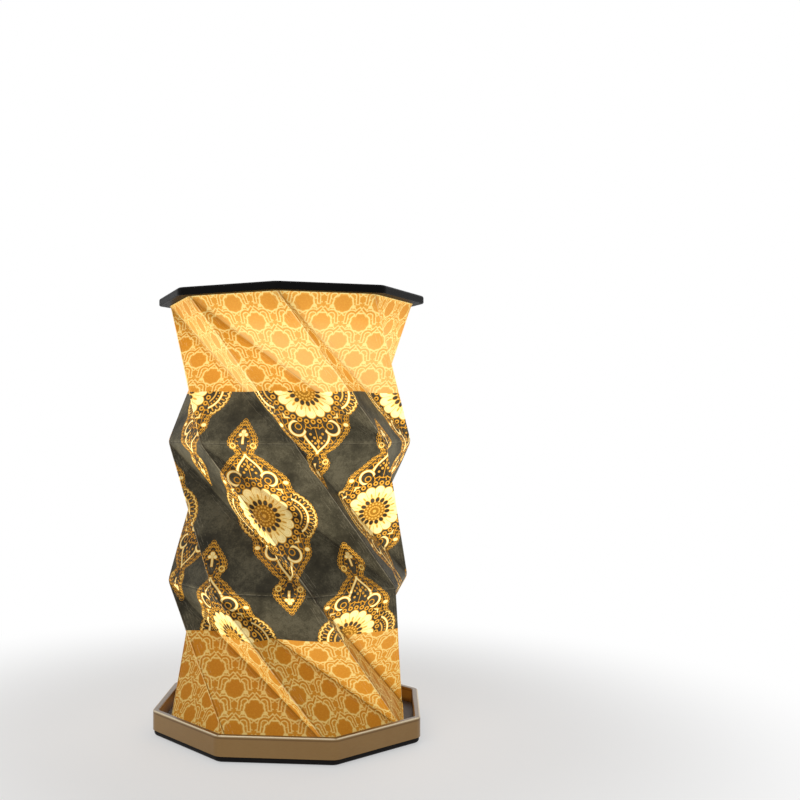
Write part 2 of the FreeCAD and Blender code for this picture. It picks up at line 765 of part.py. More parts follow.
def make_badge_pins():
    """Two rivets that hold the plate, one near each end."""
    face = f"{TOP_Z} - sizes.badge_recess + sizes.badge_thick"
    pins = []
    for number, side in enumerate((-1, 1), start=1):
        head = cylinder(f"pin_head_{number}", "sizes.pin_head", face, "sizes.pin_head_thick")
        shank = cylinder(f"pin_shank_{number}", "sizes.pin_shank",
                         f"{face} - sizes.pin_shank_length", "sizes.pin_shank_length")
        for item, level in ((head, face), (shank, f"{face} - sizes.pin_shank_length")):
            place(item, BADGE_REACH, f"{side} * sizes.pin_spacing / 2", level,
                  "sizes.badge_bearing")
        pins.append(joined(f"pin_{number}", "Part::Fuse", head, shank))
    return compound("badge_pins", pins)


# ---------------------------------------------------------------- button

def make_power_button():
    """A round metal button, kept in the lid by a flange under its skin."""
    body = new_body("power_button")
    face = sketch_at(body, FLANGE_TOP_Z)
    disc(face, "sizes.button_radius")
    height = f"{TOP_Z} + sizes.button_proud - {FLANGE_TOP_Z}"
    block = pad(body, face, height)
    crown = value(f"{TOP_Z} + sizes.button_proud")
    chamfer(body, block, lambda edge: level_at(edge, crown), "sizes.button_chamfer")
    flange = sketch_at(body, FLANGE_TOP_Z)
    disc(flange, FLANGE_RADIUS)
    pad(body, flange, "sizes.flange_thick", down=True)
    return body


def make_switch_plunger():
    level = f"{FLANGE_Z} - {PLUNGER_LENGTH}"
    return cylinder("switch_plunger", "sizes.plunger_radius", level, PLUNGER_LENGTH)


# ---------------------------------------------------------------- light module

def make_light_housing():
    """A shallow cup that hangs through the panel, with a seat for each board."""
    body = new_body("light_housing")
    wall = sketch_at(body, MODULE_Z)
    disc(wall, MODULE_RADIUS)
    pad(body, wall, f"{CAVITY_Z} + sizes.module_flange_thick - {MODULE_Z}")
    flange = sketch_at(body, CAVITY_Z)
    disc(flange, f"{MODULE_RADIUS} + sizes.module_flange")
    pad(body, flange, "sizes.module_flange_thick")
    upper = sketch_at(body, f"{CAVITY_Z} + sizes.module_flange_thick")
    disc(upper, BOARD_BORE)
    pocket(body, upper, f"{CAVITY_Z} + sizes.module_flange_thick - {WEB_TOP_Z}")
    middle = sketch_at(body, WEB_TOP_Z)
    disc(middle, WEB_BORE)
    pocket(body, middle, f"{WEB_TOP_Z} - {WEB_Z}")
    lower = sketch_at(body, WEB_Z)
    disc(lower, BOARD_BORE)
    pocket(body, lower, f"{WEB_Z} - {MODULE_Z}")
    return body


def make_light_diffuser():
    body = new_body("light_diffuser")
    outline = sketch_at(body, MODULE_Z)
    disc(outline, f"{BOARD_BORE} - sizes.diffuser_fit")
    block = pad(body, outline, "sizes.diffuser_thick")
    foot = value(MODULE_Z)
    chamfer(body, block, lambda edge: level_at(edge, foot), "sizes.diffuser_chamfer")
    return body


def make_boards():
    control = cylinder("control_board", BOARD_RADIUS, WEB_TOP_Z, "sizes.control_board_thick")
    led = cylinder("led_board", BOARD_RADIUS, LED_BOARD_Z, "sizes.led_board_thick")
    return [control, led]


def make_led_chips():
    chips = []
    start = f"{BOARD_RADIUS} - sizes.led_inset - sizes.led_width / 2"
    count = int(value("sizes.led_count"))
    for number in range(count):
        bearing = f"{number} * 360 / sizes.led_count"
        chips.append(box(f"led_chip_{number + 1}", start, "sizes.led_width",
                         "sizes.led_length", CHIPS_Z, "sizes.led_height", bearing))
    return compound("led_chips", chips)


def make_battery():
    """A flat rechargeable cell, taped under the control board."""
    body = new_body("battery_cell")
    outline = sketch_at(body, BATTERY_Z)
    rectangle(outline, "-sizes.battery_length / 2", "sizes.battery_length",
              "sizes.battery_width")
    block = pad(body, outline, "sizes.battery_thick")
    fillet(body, block, upright, "sizes.battery_round")
    tape = box("battery_tape", "-sizes.tape_side / 2", "sizes.tape_side", "sizes.tape_side",
               f"{WEB_TOP_Z} - sizes.tape_thick", "sizes.tape_thick")
    return [body, tape]


def make_tact_switch():
    case = box("switch_case", "-sizes.switch_side / 2", "sizes.switch_side", "sizes.switch_side",
               CONTROL_TOP_Z, "sizes.switch_height")
    well = cylinder("switch_well", "sizes.plunger_radius + sizes.plunger_fit",
                    f"{CONTROL_TOP_Z} + sizes.switch_floor", "sizes.switch_height")
    return joined("tact_switch", "Part::Cut", case, well)


# ---------------------------------------------------------------- charging socket

def make_usb_socket():
    """The metal mouth in the lid's edge, with its contact tongue inside."""
    bearing = "sizes.port_bearing"
    shell = box("socket_shell", PORT_X, "sizes.port_depth", "sizes.port_width",
                CAVITY_Z, "sizes.port_height", bearing)
    mouth = box("socket_mouth", f"{PORT_X} + sizes.port_back", "sizes.port_depth",
                "sizes.port_width - 2 * sizes.port_wall", f"{CAVITY_Z} + sizes.port_wall",
                "sizes.port_height - 2 * sizes.port_wall", bearing)
    tongue = box("socket_tongue", f"{PORT_X} + sizes.port_back",
                 "sizes.port_depth - sizes.port_back - sizes.tongue_set_back",
                 "sizes.tongue_width",
                 f"{CAVITY_Z} + sizes.port_height / 2 - sizes.tongue_thick / 2",
                 "sizes.tongue_thick", bearing)
    hollow = joined("socket_hollow", "Part::Cut", shell, mouth)
    return joined("usb_socket", "Part::Fuse", hollow, tongue)


def make_charge_board():
    """A small board, notched round the socket, level with its middle."""
    bearing = "sizes.port_bearing"
    level = f"{CAVITY_Z} + sizes.port_height / 2 - sizes.charge_board_thick / 2"
    start = f"{PORT_X} + sizes.charge_board_notch - sizes.charge_board_length"
    board = box("charge_board_blank", start, "sizes.charge_board_length",
                "sizes.charge_board_width", level, "sizes.charge_board_thick", bearing)
    notch = box("charge_board_cutout", f"{PORT_X} - sizes.port_fit", "sizes.port_depth",
                "sizes.port_width + 2 * sizes.port_fit", level, "sizes.charge_board_thick",
                bearing)
    return joined("charge_board", "Part::Cut", board, notch)


def make_lead():
    """The flat lead from the charging board to the control board."""
    bearing = "sizes.port_bearing"
    top = f"{CAVITY_Z} + sizes.port_height / 2 - sizes.charge_board_thick / 2"
    bottom = f"{top} - sizes.lead_thick"
    end = (f"{PORT_X} + sizes.charge_board_notch - sizes.charge_board_length"
           " + sizes.lead_overlap")
    lead = box("flat_lead", CONNECTOR_REACH, f"{end} - {CONNECTOR_REACH}",
               "sizes.lead_width", bottom, "sizes.lead_thick", bearing)
    connector = box("lead_connector", CONNECTOR_REACH, "sizes.connector_length",
                    "sizes.connector_width", CONTROL_TOP_Z, f"{bottom} - {CONTROL_TOP_Z}",
                    bearing)
    return [lead, connector]


# ---------------------------------------------------------------- assembly

parts = [
    make_base_frame(),
    make_tray_floor(),
    make_bottom_cover(),
    make_ballast_plate(),
    make_cover_screws(),
    make_rubber_feet(),
    make_paper_shade(),
    make_lid_shell(),
    make_lid_panel(),
    make_lid_screws(),
    make_badge_plate(),
    make_badge_pins(),
    make_power_button(),
    make_switch_plunger(),
    make_light_housing(),
    make_light_diffuser(),
    *make_boards(),
    make_led_chips(),
    *make_battery(),
    make_tact_switch(),
    make_usb_socket(),
    make_charge_board(),
    *make_lead(),
]
doc.recompute()

for item in doc.Objects:
    if "Invalid" in item.State or "Error" in item.State:
        raise RuntimeError(f"{item.Label} failed")
for item in parts:
    if item.Shape.isNull() or not item.Shape.isValid():
        raise RuntimeError(f"{item.Label} has no valid shape")

os.makedirs("parts", exist_ok=True)
for item in parts:
    item.Shape.exportStep(os.path.join("parts", f"{item.Label}.step"))
    print(f"{item.Label}: {len(item.Shape.Solids)} solid(s), {item.Shape.Volume:.1f} mm3")
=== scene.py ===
# %% [markdown]
# # A folding table lamp with a pleated paper shade
#
# The lamp stands on an octagonal metal tray. Its shade is one printed sheet
# of stiff paper, folded in three twisted tiers, and a thin black lid holds
# the light and closes the top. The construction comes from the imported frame.
# This lesson gives it its looks: the creased and printed paper, the glow of
# the light inside, the anodised metal, the dull black plastic and the spun
# button.

# %% Start
import math

import bmesh
import bpy
from mathutils import Matrix, Vector, noise


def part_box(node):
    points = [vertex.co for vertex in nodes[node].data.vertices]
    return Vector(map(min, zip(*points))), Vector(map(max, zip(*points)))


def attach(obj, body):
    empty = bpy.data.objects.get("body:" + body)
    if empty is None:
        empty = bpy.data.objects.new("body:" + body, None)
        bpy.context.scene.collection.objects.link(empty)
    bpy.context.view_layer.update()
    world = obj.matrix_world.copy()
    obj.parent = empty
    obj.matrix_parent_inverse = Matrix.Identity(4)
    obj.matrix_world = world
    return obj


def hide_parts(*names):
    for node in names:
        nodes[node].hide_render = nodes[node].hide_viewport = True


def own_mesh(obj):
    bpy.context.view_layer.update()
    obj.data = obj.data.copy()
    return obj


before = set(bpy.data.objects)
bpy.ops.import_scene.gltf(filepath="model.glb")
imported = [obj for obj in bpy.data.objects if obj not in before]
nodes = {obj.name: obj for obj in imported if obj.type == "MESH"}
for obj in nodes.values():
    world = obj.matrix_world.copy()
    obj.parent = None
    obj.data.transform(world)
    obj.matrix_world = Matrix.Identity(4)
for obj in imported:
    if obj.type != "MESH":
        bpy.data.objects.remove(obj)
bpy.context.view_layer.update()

MM = 0.001
scene = bpy.context.scene
scene.view_settings.view_transform = "Standard"

# %% [markdown]
# ## The camera
#
# The photograph looks at the lamp from a little above its middle, and its
# upright edges stay upright. So the camera is level, and a small lens shift
# puts the lamp left of the picture's centre.

# %% Camera
PHOTO_WIDTH = 800
FOCAL_PIXELS = 1056.0
AXIS_COLUMN = 290.0
HORIZON_ROW = 417.7
CAMERA_DISTANCE = 0.528
CAMERA_HEIGHT = 0.1531
CAMERA_TURN = math.radians(5.4)
SENSOR = 36.0

camera_data = bpy.data.cameras.new("camera")
camera_data.sensor_width = SENSOR
camera_data.lens = SENSOR * FOCAL_PIXELS / PHOTO_WIDTH
camera_data.shift_x = (PHOTO_WIDTH / 2 - AXIS_COLUMN) / PHOTO_WIDTH
camera_data.shift_y = (HORIZON_ROW - PHOTO_WIDTH / 2) / PHOTO_WIDTH
camera_data.clip_start = 0.01
camera = bpy.data.objects.new("camera", camera_data)
camera.location = (
    CAMERA_DISTANCE * math.sin(CAMERA_TURN),
    -CAMERA_DISTANCE * math.cos(CAMERA_TURN),
    CAMERA_HEIGHT,
)
camera.rotation_euler = (math.pi / 2, 0, CAMERA_TURN)
scene.collection.objects.link(camera)
scene.camera = camera
print("lens", round(camera_data.lens, 2), "shift", camera_data.shift_x, camera_data.shift_y)

# %% [markdown]
# ## The stage
#
# The floor and the air round the lamp are white, and three soft area lamps
# stand round it: a broad one in front and above, a fill at the right and one
# behind. The white that the camera sees comes from the world's and the
# floor's own colour through the Light Path node. Near the lamp the floor is
# half white and half lit paint, so the lamp still throws a shadow on it.

# %% Stage
WORLD_LIGHT = 0.24
SHADOW_NEAR = 0.11
SHADOW_FAR = 0.3
SEEN_WHITE_SHARE = 0.5
SHADE_MIDDLE = 0.11


def add_node(tree, kind, **sockets):
    """A new node with some of its sockets filled in."""
    node = tree.nodes.new(kind)
    for title, value in sockets.items():
        node.inputs[title.replace("_", " ")].default_value = value
    return node


def see_or_light(tree, seen, lit):
    """A mix of two shaders: one for what sees it directly, one for what it lights."""
    rays = tree.nodes.new("ShaderNodeLightPath")
    any_view = rays.outputs["Is Camera Ray"]
    for kind in ("Is Glossy Ray", "Is Transmission Ray"):
        either = tree.nodes.new("ShaderNodeMath")
        either.operation = "MAXIMUM"
        tree.links.new(any_view, either.inputs[0])
        tree.links.new(rays.outputs[kind], either.inputs[1])
        any_view = either.outputs[0]
    mix = tree.nodes.new("ShaderNodeMixShader")
    tree.links.new(any_view, mix.inputs[0])
    tree.links.new(lit, mix.inputs[1])
    tree.links.new(seen, mix.inputs[2])
    return mix.outputs[0]


world = bpy.data.worlds.new("studio")
scene.world = world
world.use_nodes = True
air = world.node_tree
air.nodes.clear()
white_air = add_node(air, "ShaderNodeBackground", Color=(1, 1, 1, 1), Strength=1.0)
dim_air = add_node(air, "ShaderNodeBackground", Color=(1, 1, 1, 1), Strength=WORLD_LIGHT)
sky = air.nodes.new("ShaderNodeOutputWorld")
air.links.new(see_or_light(air, white_air.outputs[0], dim_air.outputs[0]), sky.inputs[0])

floor_mesh = bpy.data.meshes.new("floor")
floor = bpy.data.objects.new("floor", floor_mesh)
grid = bmesh.new()
bmesh.ops.create_grid(grid, x_segments=1, y_segments=1, size=6.0)
grid.to_mesh(floor_mesh)
grid.free()
scene.collection.objects.link(floor)

floor_finish = bpy.data.materials.new("pale_floor")
floor_finish.use_nodes = True
ground = floor_finish.node_tree
paint_floor = ground.nodes["Principled BSDF"]
paint_floor.inputs["Base Color"].default_value = (0.86, 0.86, 0.86, 1)
paint_floor.inputs["Roughness"].default_value = 0.7
paint_floor.inputs["Specular IOR Level"].default_value = 0.2
seen_white = add_node(ground, "ShaderNodeEmission", Strength=1.0)
ground_place = ground.nodes.new("ShaderNodeTexCoord")
ground_reach = ground.nodes.new("ShaderNodeVectorMath")
ground_reach.operation = "LENGTH"
ground.links.new(ground_place.outputs["Object"], ground_reach.inputs[0])
ground_share = add_node(ground, "ShaderNodeMapRange", From_Min=SHADOW_NEAR, From_Max=SHADOW_FAR,
                        To_Min=SEEN_WHITE_SHARE)
ground_share.interpolation_type = "SMOOTHSTEP"
ground.links.new(ground_reach.outputs["Value"], ground_share.inputs["Value"])
ground_mix = ground.nodes.new("ShaderNodeMixShader")
ground.links.new(ground_share.outputs["Result"], ground_mix.inputs[0])
ground.links.new(paint_floor.outputs[0], ground_mix.inputs[1])
ground.links.new(seen_white.outputs[0], ground_mix.inputs[2])
floor_shader = see_or_light(ground, ground_mix.outputs[0], paint_floor.outputs[0])
ground.links.new(floor_shader, ground.nodes["Material Output"].inputs[0])
floor_mesh.materials.append(floor_finish)


def area_lamp(name, energy, size, bearing, height, distance):
    """A square soft light at a bearing round the lamp, aimed at the shade's middle."""
    data = bpy.data.lights.new(name, "AREA")
    data.energy = energy
    data.size = size
    lamp = bpy.data.objects.new(name, data)
    angle = math.radians(bearing)
    lamp.location = (distance * math.sin(angle), -distance * math.cos(angle), height)
    aim = Vector((0, 0, SHADE_MIDDLE)) - lamp.location
    lamp.rotation_euler = aim.to_track_quat("-Z", "Y").to_euler()
    scene.collection.objects.link(lamp)
    print(name, energy, "W at", [round(value, 2) for value in lamp.location])


area_lamp("key_lamp", 4.6, 0.9, -25, 1.0, 1.1)
area_lamp("fill_lamp", 0.8, 0.9, 60, 0.7, 1.2)
area_lamp("back_lamp", 3.0, 0.8, 160, 1.0, 1.1)

# %% [markdown]
# ## The folded sheet
#
# The real shade starts as a flat sheet, printed and then scored with slanted
# creases. Each tier folds to eight ridges and eight valleys, and each fold
# ring ends up turned against the one below. Here a ring of eight corners is
# extruded upwards and turned, three times, and each side is split along its
# long diagonal, which is the valley. The creases keep every length of the
# flat sheet, so a UV map in the sheet's own millimetres lets the print run
# over the folds as ink does.

# %% Sizes of the sheet
SIDES = 8
TIERS = 3
SIDE_TURN = 360.0 / SIDES
HALF_SIDE = SIDE_TURN / 2
TIER_TWIST = 52.5
PAPER_THICK = 0.4 * MM
HEM_WIDTH = 5.0 * MM

shade_low, shade_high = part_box("paper_shade")
ring_radius = shade_high.x
tier_height = (shade_high.z - shade_low.z) / TIERS


def corner_angle(level, side):
    """Where a corner of a fold ring stands round the lamp, in degrees."""
    return HALF_SIDE - TIER_TWIST * level + SIDE_TURN * side


def chord(turn):
    return 2 * ring_radius * math.sin(math.radians(abs(turn)) / 2)


side_length = chord(SIDE_TURN)
ridge_length = math.hypot(chord(TIER_TWIST), tier_height)
valley_length = math.hypot(chord(TIER_TWIST + SIDE_TURN), tier_height)
ridge_lean = (side_length**2 + ridge_length**2 - valley_length**2) / (2 * side_length)
tier_flat = math.sqrt(ridge_length**2 - ridge_lean**2)
sheet_width = SIDES * side_length
print("flat sheet", round(sheet_width, 4), "x", round(TIERS * tier_flat, 4))

# %% [markdown]
# Each corner keeps its level and its place in the ring, because the flat
# sheet is laid out from those two numbers.

# %% Fold rings
start = bmesh.new()
sheet_map = start.loops.layers.uv.new("sheet")
level_of = start.verts.layers.int.new("level")
side_of = start.verts.layers.int.new("side")


def name_corners(verts, level):
    """Note each corner's level and its place round the ring."""
    for vert in verts:
        bearing = math.degrees(math.atan2(vert.co.y, vert.co.x))
        vert[level_of] = level
        vert[side_of] = round((bearing - corner_angle(level, 0)) / SIDE_TURN) % SIDES


ring = bmesh.ops.create_circle(start, segments=SIDES, radius=ring_radius)["verts"]
bmesh.ops.rotate(start, verts=ring, matrix=Matrix.Rotation(math.radians(HALF_SIDE), 3, "Z"))
bmesh.ops.translate(start, verts=ring, vec=(0, 0, shade_low.z))
name_corners(ring, 0)
edges = list(start.edges)
for level in range(1, TIERS + 1):
    made = bmesh.ops.extrude_edge_only(start, edges=edges)["geom"]
    ring = [item for item in made if isinstance(item, bmesh.types.BMVert)]
    edges = [item for item in made if isinstance(item, bmesh.types.BMEdge)]
    bmesh.ops.rotate(start, verts=ring, matrix=Matrix.Rotation(math.radians(-TIER_TWIST), 3, "Z"))
    bmesh.ops.translate(start, verts=ring, vec=(0, 0, tier_height))
    name_corners(ring, level)
    edges = [edge for edge in edges if all(vert in ring for vert in edge.verts)]
bmesh.ops.triangulate(start, faces=start.faces[:], quad_method="LONG_EDGE")
print("creased panels", len(start.faces))

# %% [markdown]
# Each panel's three corners now get their place on the flat sheet. The last
# panel runs past the end of the first row, so the seam stays in one place.
# Then every panel is cut finely and evenly, which keeps those places exact.

# %% Flat places
CUTS = 47

for face in start.faces:
    sides = [loop.vert[side_of] for loop in face.loops]
    seam = max(sides) - min(sides) > 1
    for loop in face.loops:
        level, side = loop.vert[level_of], loop.vert[side_of]
        if seam and side == 0:
            side = SIDES
        flat = Vector((side * side_length + level * ridge_lean, level * tier_flat))
        loop[sheet_map].uv = flat / MM
bmesh.ops.subdivide_edges(start, edges=start.edges[:], cuts=CUTS, use_grid_fill=True)
print("fine panels", len(start.faces))

# %% [markdown]
# Paper is stiff but not rigid: a panel bows a little and has small dents.
# The product of a point's shares of distance from the three creases is a
# smooth bump that is nothing at the creases. Two rounds of smoothing then
# give the creases the small radius of a fold in stiff paper.

# %% Bow and soften
BOW = 0.55 * MM
DENT = 0.4 * MM
DENT_SIZE = 22.0 * MM
FOLD_ROUNDS = 2


def crease_shares(flat):
    """How far a place on the sheet is from its panel's edges, as three shares."""
    tier = min(TIERS - 1, max(0.0, flat.y * MM / tier_flat - 1e-6) // 1)
    rise = flat.y * MM / tier_flat - tier
    along = (flat.x * MM - (tier + rise) * ridge_lean) / side_length
    part = along - math.floor(along + 1e-6)
    if part + rise <= 1:
        return part, rise, 1 - part - rise
    return 1 - part, 1 - rise, part + rise - 1


start.normal_update()
moves = []
for vert in start.verts:
    shares = crease_shares(vert.link_loops[0][sheet_map].uv)
    bump = 27 * max(0.0, shares[0]) * max(0.0, shares[1]) * max(0.0, shares[2])
    dent = noise.noise(vert.co / DENT_SIZE) * min(1.0, 3 * math.sqrt(max(0.0, bump)))
    moves.append((vert, vert.normal * (BOW * bump + DENT * dent)))
for vert, move in moves:
    vert.co += move
inner = [vert for vert in start.verts if not vert.is_boundary]
for turn in range(FOLD_ROUNDS):
    bmesh.ops.smooth_vert(start, verts=inner, factor=0.5,
                          use_axis_x=True, use_axis_y=True, use_axis_z=True)
start.normal_update()
print("largest bow", round(max(move.length for vert, move in moves) / MM, 2), "mm")

# %% [markdown]
# The shade is cut into its three tiers at the fold rings. The lowest stays on
# the base and the others turn with the lid when the lamp is pressed flat. The
# first and last tier get the hem that is glued to the floor and to the lid,
# and each tier gets the paper's thickness, on the inside.

# %% Cut into tiers
def new_piece(name, mesh_source, body):
    """An object at the origin, made from a bmesh, that rides on a body."""
    mesh = bpy.data.meshes.new(name)
    mesh_source.to_mesh(mesh)
    mesh_source.free()
    piece = bpy.data.objects.new(name, mesh)
    scene.collection.objects.link(piece)
    mesh.shade_smooth()
    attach(piece, body)
    print(name, len(mesh.polygons), "faces")
    return piece


def add_hem(tier, level_z):
    """Fold the edge at a level inwards, as the flap that is glued down."""
    edges = [
        edge for edge in tier.edges
        if edge.is_boundary and all(abs(vert.co.z - level_z) < 1e-6 for vert in edge.verts)
    ]
    made = bmesh.ops.extrude_edge_only(tier, edges=edges)["geom"]
    flap = [item for item in made if isinstance(item, bmesh.types.BMVert)]
    shrink = 1 - HEM_WIDTH / (ring_radius * math.cos(math.radians(HALF_SIDE)))
    bmesh.ops.scale(tier, verts=flap, vec=(shrink, shrink, 1))


TIER_NAMES = ("shade_tier_bottom", "shade_tier_middle", "shade_tier_top")
TIER_BODIES = ("base", "shade", "shade")
tiers = []
for number, (name, body) in enumerate(zip(TIER_NAMES, TIER_BODIES)):
    tier = start.copy()
    rows = tier.loops.layers.uv["sheet"]
    gone = []
    for face in tier.faces:
        height = sum(loop[rows].uv.y for loop in face.loops) / 3 * MM
        if not number * tier_flat < height < (number + 1) * tier_flat:
            gone.append(face)
    bmesh.ops.delete(tier, geom=gone, context="FACES")
    if number == 0:
        add_hem(tier, shade_low.z)
    if number == TIERS - 1:
        add_hem(tier, shade_high.z)
    tier.normal_update()
    bmesh.ops.solidify(tier, geom=tier.faces[:], thickness=PAPER_THICK)
    tiers.append(new_piece(name, tier, body))
start.free()
for tier in tiers:
    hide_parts("paper_shade")
    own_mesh(tier)

# %% [markdown]
# ## A way to write formulas as nodes
#
# The print is drawn with arithmetic on the sheet's two coordinates. A `Field`
# stands for a number that varies over the surface, and its plus, minus and
# times make the math nodes, so a shape is written as its distance formula.

# %% Fields
CHARCOAL, WINDOW, BROWN, GOLD, PALE, CREAM = 0.0, 0.03, 0.25, 0.5, 0.8, 1.0


class Field:
    """A number that varies over a surface."""

    def __init__(self, tree, socket):
        self.tree = tree
        self.socket = socket

    def math(self, operation, *others):
        node = self.tree.nodes.new("ShaderNodeMath")
        node.operation = operation
        for slot, value in zip(node.inputs, (self, *others)):
            if isinstance(value, Field):
                self.tree.links.new(value.socket, slot)
            else:
                slot.default_value = value
        return Field(self.tree, node.outputs[0])

    def __add__(self, other):
        return self.math("ADD", other)

    def __sub__(self, other):
        return self.math("SUBTRACT", other)

    def __mul__(self, other):
        return self.math("MULTIPLY", other)

    def __truediv__(self, other):
        return self.math("DIVIDE", other)

    def above(self, other):
        return self.math("GREATER_THAN", other)

    def least(self, other):
        return self.math("MINIMUM", other)

    def most(self, other):
        return self.math("MAXIMUM", other)

    def size(self):
        return self.math("ABSOLUTE")

    def folded(self, half):
        """Back and forth between nothing and a half period."""
        return self.math("PINGPONG", half)

    def choose(self, other, pick):
        """This field where pick is nothing, and the other where it is one."""
        return (other - self).math("MULTIPLY_ADD", pick, self)


def place(x, y):
    """Two fields as one vector, from which lengths are measured."""
    node = x.tree.nodes.new("ShaderNodeCombineXYZ")
    x.tree.links.new(x.socket, node.inputs[0])
    x.tree.links.new(y.socket, node.inputs[1])
    return Field(x.tree, node.outputs[0])


def reach(spot, x=0.0, y=0.0):
    """How far a place is from a fixed point."""
    node = spot.tree.nodes.new("ShaderNodeVectorMath")
    node.operation = "DISTANCE"
    spot.tree.links.new(spot.socket, node.inputs[0])
    node.inputs[1].default_value = (x, y, 0)
    return Field(spot.tree, node.outputs["Value"])


def split(tree, socket):
    """The fields of a vector's three parts."""
    node = tree.nodes.new("ShaderNodeSeparateXYZ")
    tree.links.new(socket, node.inputs[0])
    return [Field(tree, part) for part in node.outputs]


def inked(distance, soft=0.22):
    """One inside a shape, where the distance is below nothing, and soft at its edge."""
    shade = distance.math("MULTIPLY_ADD", -1 / soft, 0.5)
    shade.socket.node.use_clamp = True
    return shade


def paint(under, mask, tone):
    """Lay a tone, or another field, over what is there."""
    return (mask * (under * -1.0 + tone)) + under


def outlined(tone, shape, wide=0.3, within=1.0):
    """A cream stroke with a gold outline."""
    tone = paint(tone, inked(shape - wide) * within, GOLD)
    return paint(tone, inked(shape) * within, CREAM)


def texture(tree, kind, vector, output, sockets, **settings):
    """A texture node read at a place, with its sockets and settings filled in."""
    node = tree.nodes.new(kind)
    for name, value in settings.items():
        setattr(node, name, value)
    for name, value in sockets.items():
        node.inputs[name].default_value = value
    tree.links.new(vector.socket, node.inputs["Vector"])
    return Field(tree, node.outputs[output])


def ramp(field, stops):
    """Colours for a field, given as (place, red, green, blue)."""
    node = field.tree.nodes.new("ShaderNodeValToRGB")
    spots = node.color_ramp.elements
    while len(spots) < len(stops):
        spots.new(0.5)
    for spot, (at, red, green, blue) in zip(spots, stops):
        spot.position = at
        spot.color = (red, green, blue, 1)
    field.tree.links.new(field.socket, node.inputs["Fac"])
    return Field(field.tree, node.outputs["Color"])


def mixed(first, second, pick, way="MIX"):
    """Two colours mixed by a field or a number."""
    tree = next(value.tree for value in (first, second, pick) if isinstance(value, Field))
    node = tree.nodes.new("ShaderNodeMix")
    node.data_type = "RGBA"
    node.blend_type = way
    node.clamp_result = False
    slots = (node.inputs["Factor"], node.inputs[6], node.inputs[7])
    for slot, value in zip(slots, (pick, first, second)):
        if isinstance(value, Field):
            tree.links.new(value.socket, slot)
        else:
            slot.default_value = value
    return Field(tree, node.outputs[2])


def new_group(name, inputs, outputs):
    """An empty shader group: its tree, the fields that go in, and a call that sends one out."""
    tree = bpy.data.node_groups.new(name, "ShaderNodeTree")
    for title, kind in inputs.items():
        tree.interface.new_socket(title, in_out="INPUT", socket_type=f"NodeSocket{kind}")
    for title, kind in outputs.items():
        tree.interface.new_socket(title, in_out="OUTPUT", socket_type=f"NodeSocket{kind}")
    entry = tree.nodes.new("NodeGroupInput")
    way_out = tree.nodes.new("NodeGroupOutput")
    fields = {title: Field(tree, entry.outputs[title]) for title in inputs}

    def send(title, field):
        tree.links.new(field.socket, way_out.inputs[title])

    return tree, fields, send


# %% [markdown]
# ## The printed sheet
#
# Three bands are printed on the sheet: charcoal with gold medallions in the
# middle, and a small gold damask above and below. Both patterns repeat, so
# the sheet's coordinates are folded back and forth, and only one motif is
# drawn. The medallion is the same on both sides of both its axes, so one
# quarter is enough. Every length here is in the sheet's millimetres. A tone
# between nothing and one stands for the inks, which are given further down.

# %% Medallion
MEDALLION_PITCH = sheet_width / MM / 5
MEDALLION_DROP = 132.0
MEDALLION_COLUMN = 54.4
MEDALLION_ROW = 120.0
PETALS = 16
SECTOR = math.pi / PETALS
OUTLINE_HEIGHT = 50.6
OUTLINE_WIDTH = 26.5
OUTLINE = (
    (0.0, 26.5), (5.0, 25.6), (9.0, 23.2), (12.0, 20.0), (14.0, 18.2), (17.0, 17.6), (19.0, 17.4),
    (22.0, 15.6), (25.0, 12.4), (28.0, 9.6), (31.0, 6.6), (33.6, 3.7), (35.0, 4.6), (38.0, 6.5),
    (40.5, 6.4), (43.0, 5.2), (46.0, 3.2), (50.6, 0.0),
)
SPRIG_BUDS = ((1.5, 24.6, 0.75), (1.6, 27.4, 0.65), (0.0, 29.2, 0.7), (3.0, 26.2, 0.55), (3.0, 22.8, 0.7))
HALF_RIB = math.radians(5.75)
DIAGONAL = math.sqrt(0.5)


def half_width(height):
    """The medallion's half width at a height, as a drawn curve."""
    node = height.tree.nodes.new("ShaderNodeFloatCurve")
    curve = node.mapping.curves[0]
    curve.points[0].location = (0, 1)
    curve.points[-1].location = (1, 0)
    for at, wide in OUTLINE[1:-1]:
        curve.points.new(at / OUTLINE_HEIGHT, wide / OUTLINE_WIDTH)
    node.mapping.update()
    height.tree.links.new((height * (1 / OUTLINE_HEIGHT)).socket, node.inputs["Value"])
    return Field(height.tree, node.outputs[0]) * OUTLINE_WIDTH


def draw_border(x, y, spot):
    """The tracery inside the outline, and the beaded border along it."""
    edge = (x - half_width(y)) * 0.8
    inside = inked(edge)
    net = texture(x.tree, "ShaderNodeTexVoronoi", spot, "Distance", {"Scale": 0.4, "Randomness": 0.7},
                  feature="DISTANCE_TO_EDGE", voronoi_dimensions="2D")
    tone = inside * 0.07
    tone = paint(tone, inked(net - 0.12, 0.1) * inside, GOLD)

    scallop = (y * 1.25).folded(1.15)
    rim = (edge + 2.3).size() - 0.14
    beads = reach(place(edge + 1.25, scallop)) - 0.5
    lace = (edge + 0.1).size() - 0.22
    arcs = (reach(place(edge + 0.1, scallop * -1.0 + 1.15)) - 0.95).size() - 0.18
    fringe = inked(edge - 0.9) * inked(edge * -1.0 - 2.5)
    tone = paint(tone, fringe, WINDOW)
    tone = paint(tone, inked(rim.least(lace).least(beads)) * fringe, GOLD)
    return paint(tone, inked(arcs) * fringe, GOLD + 0.08)


# %% [markdown]
# The tip has a trefoil in a dark neck, and under it a pointed arch with a
# sprig. A curl and two leaves lead from there to the side, where a fan of
# ribs ends in scallops.

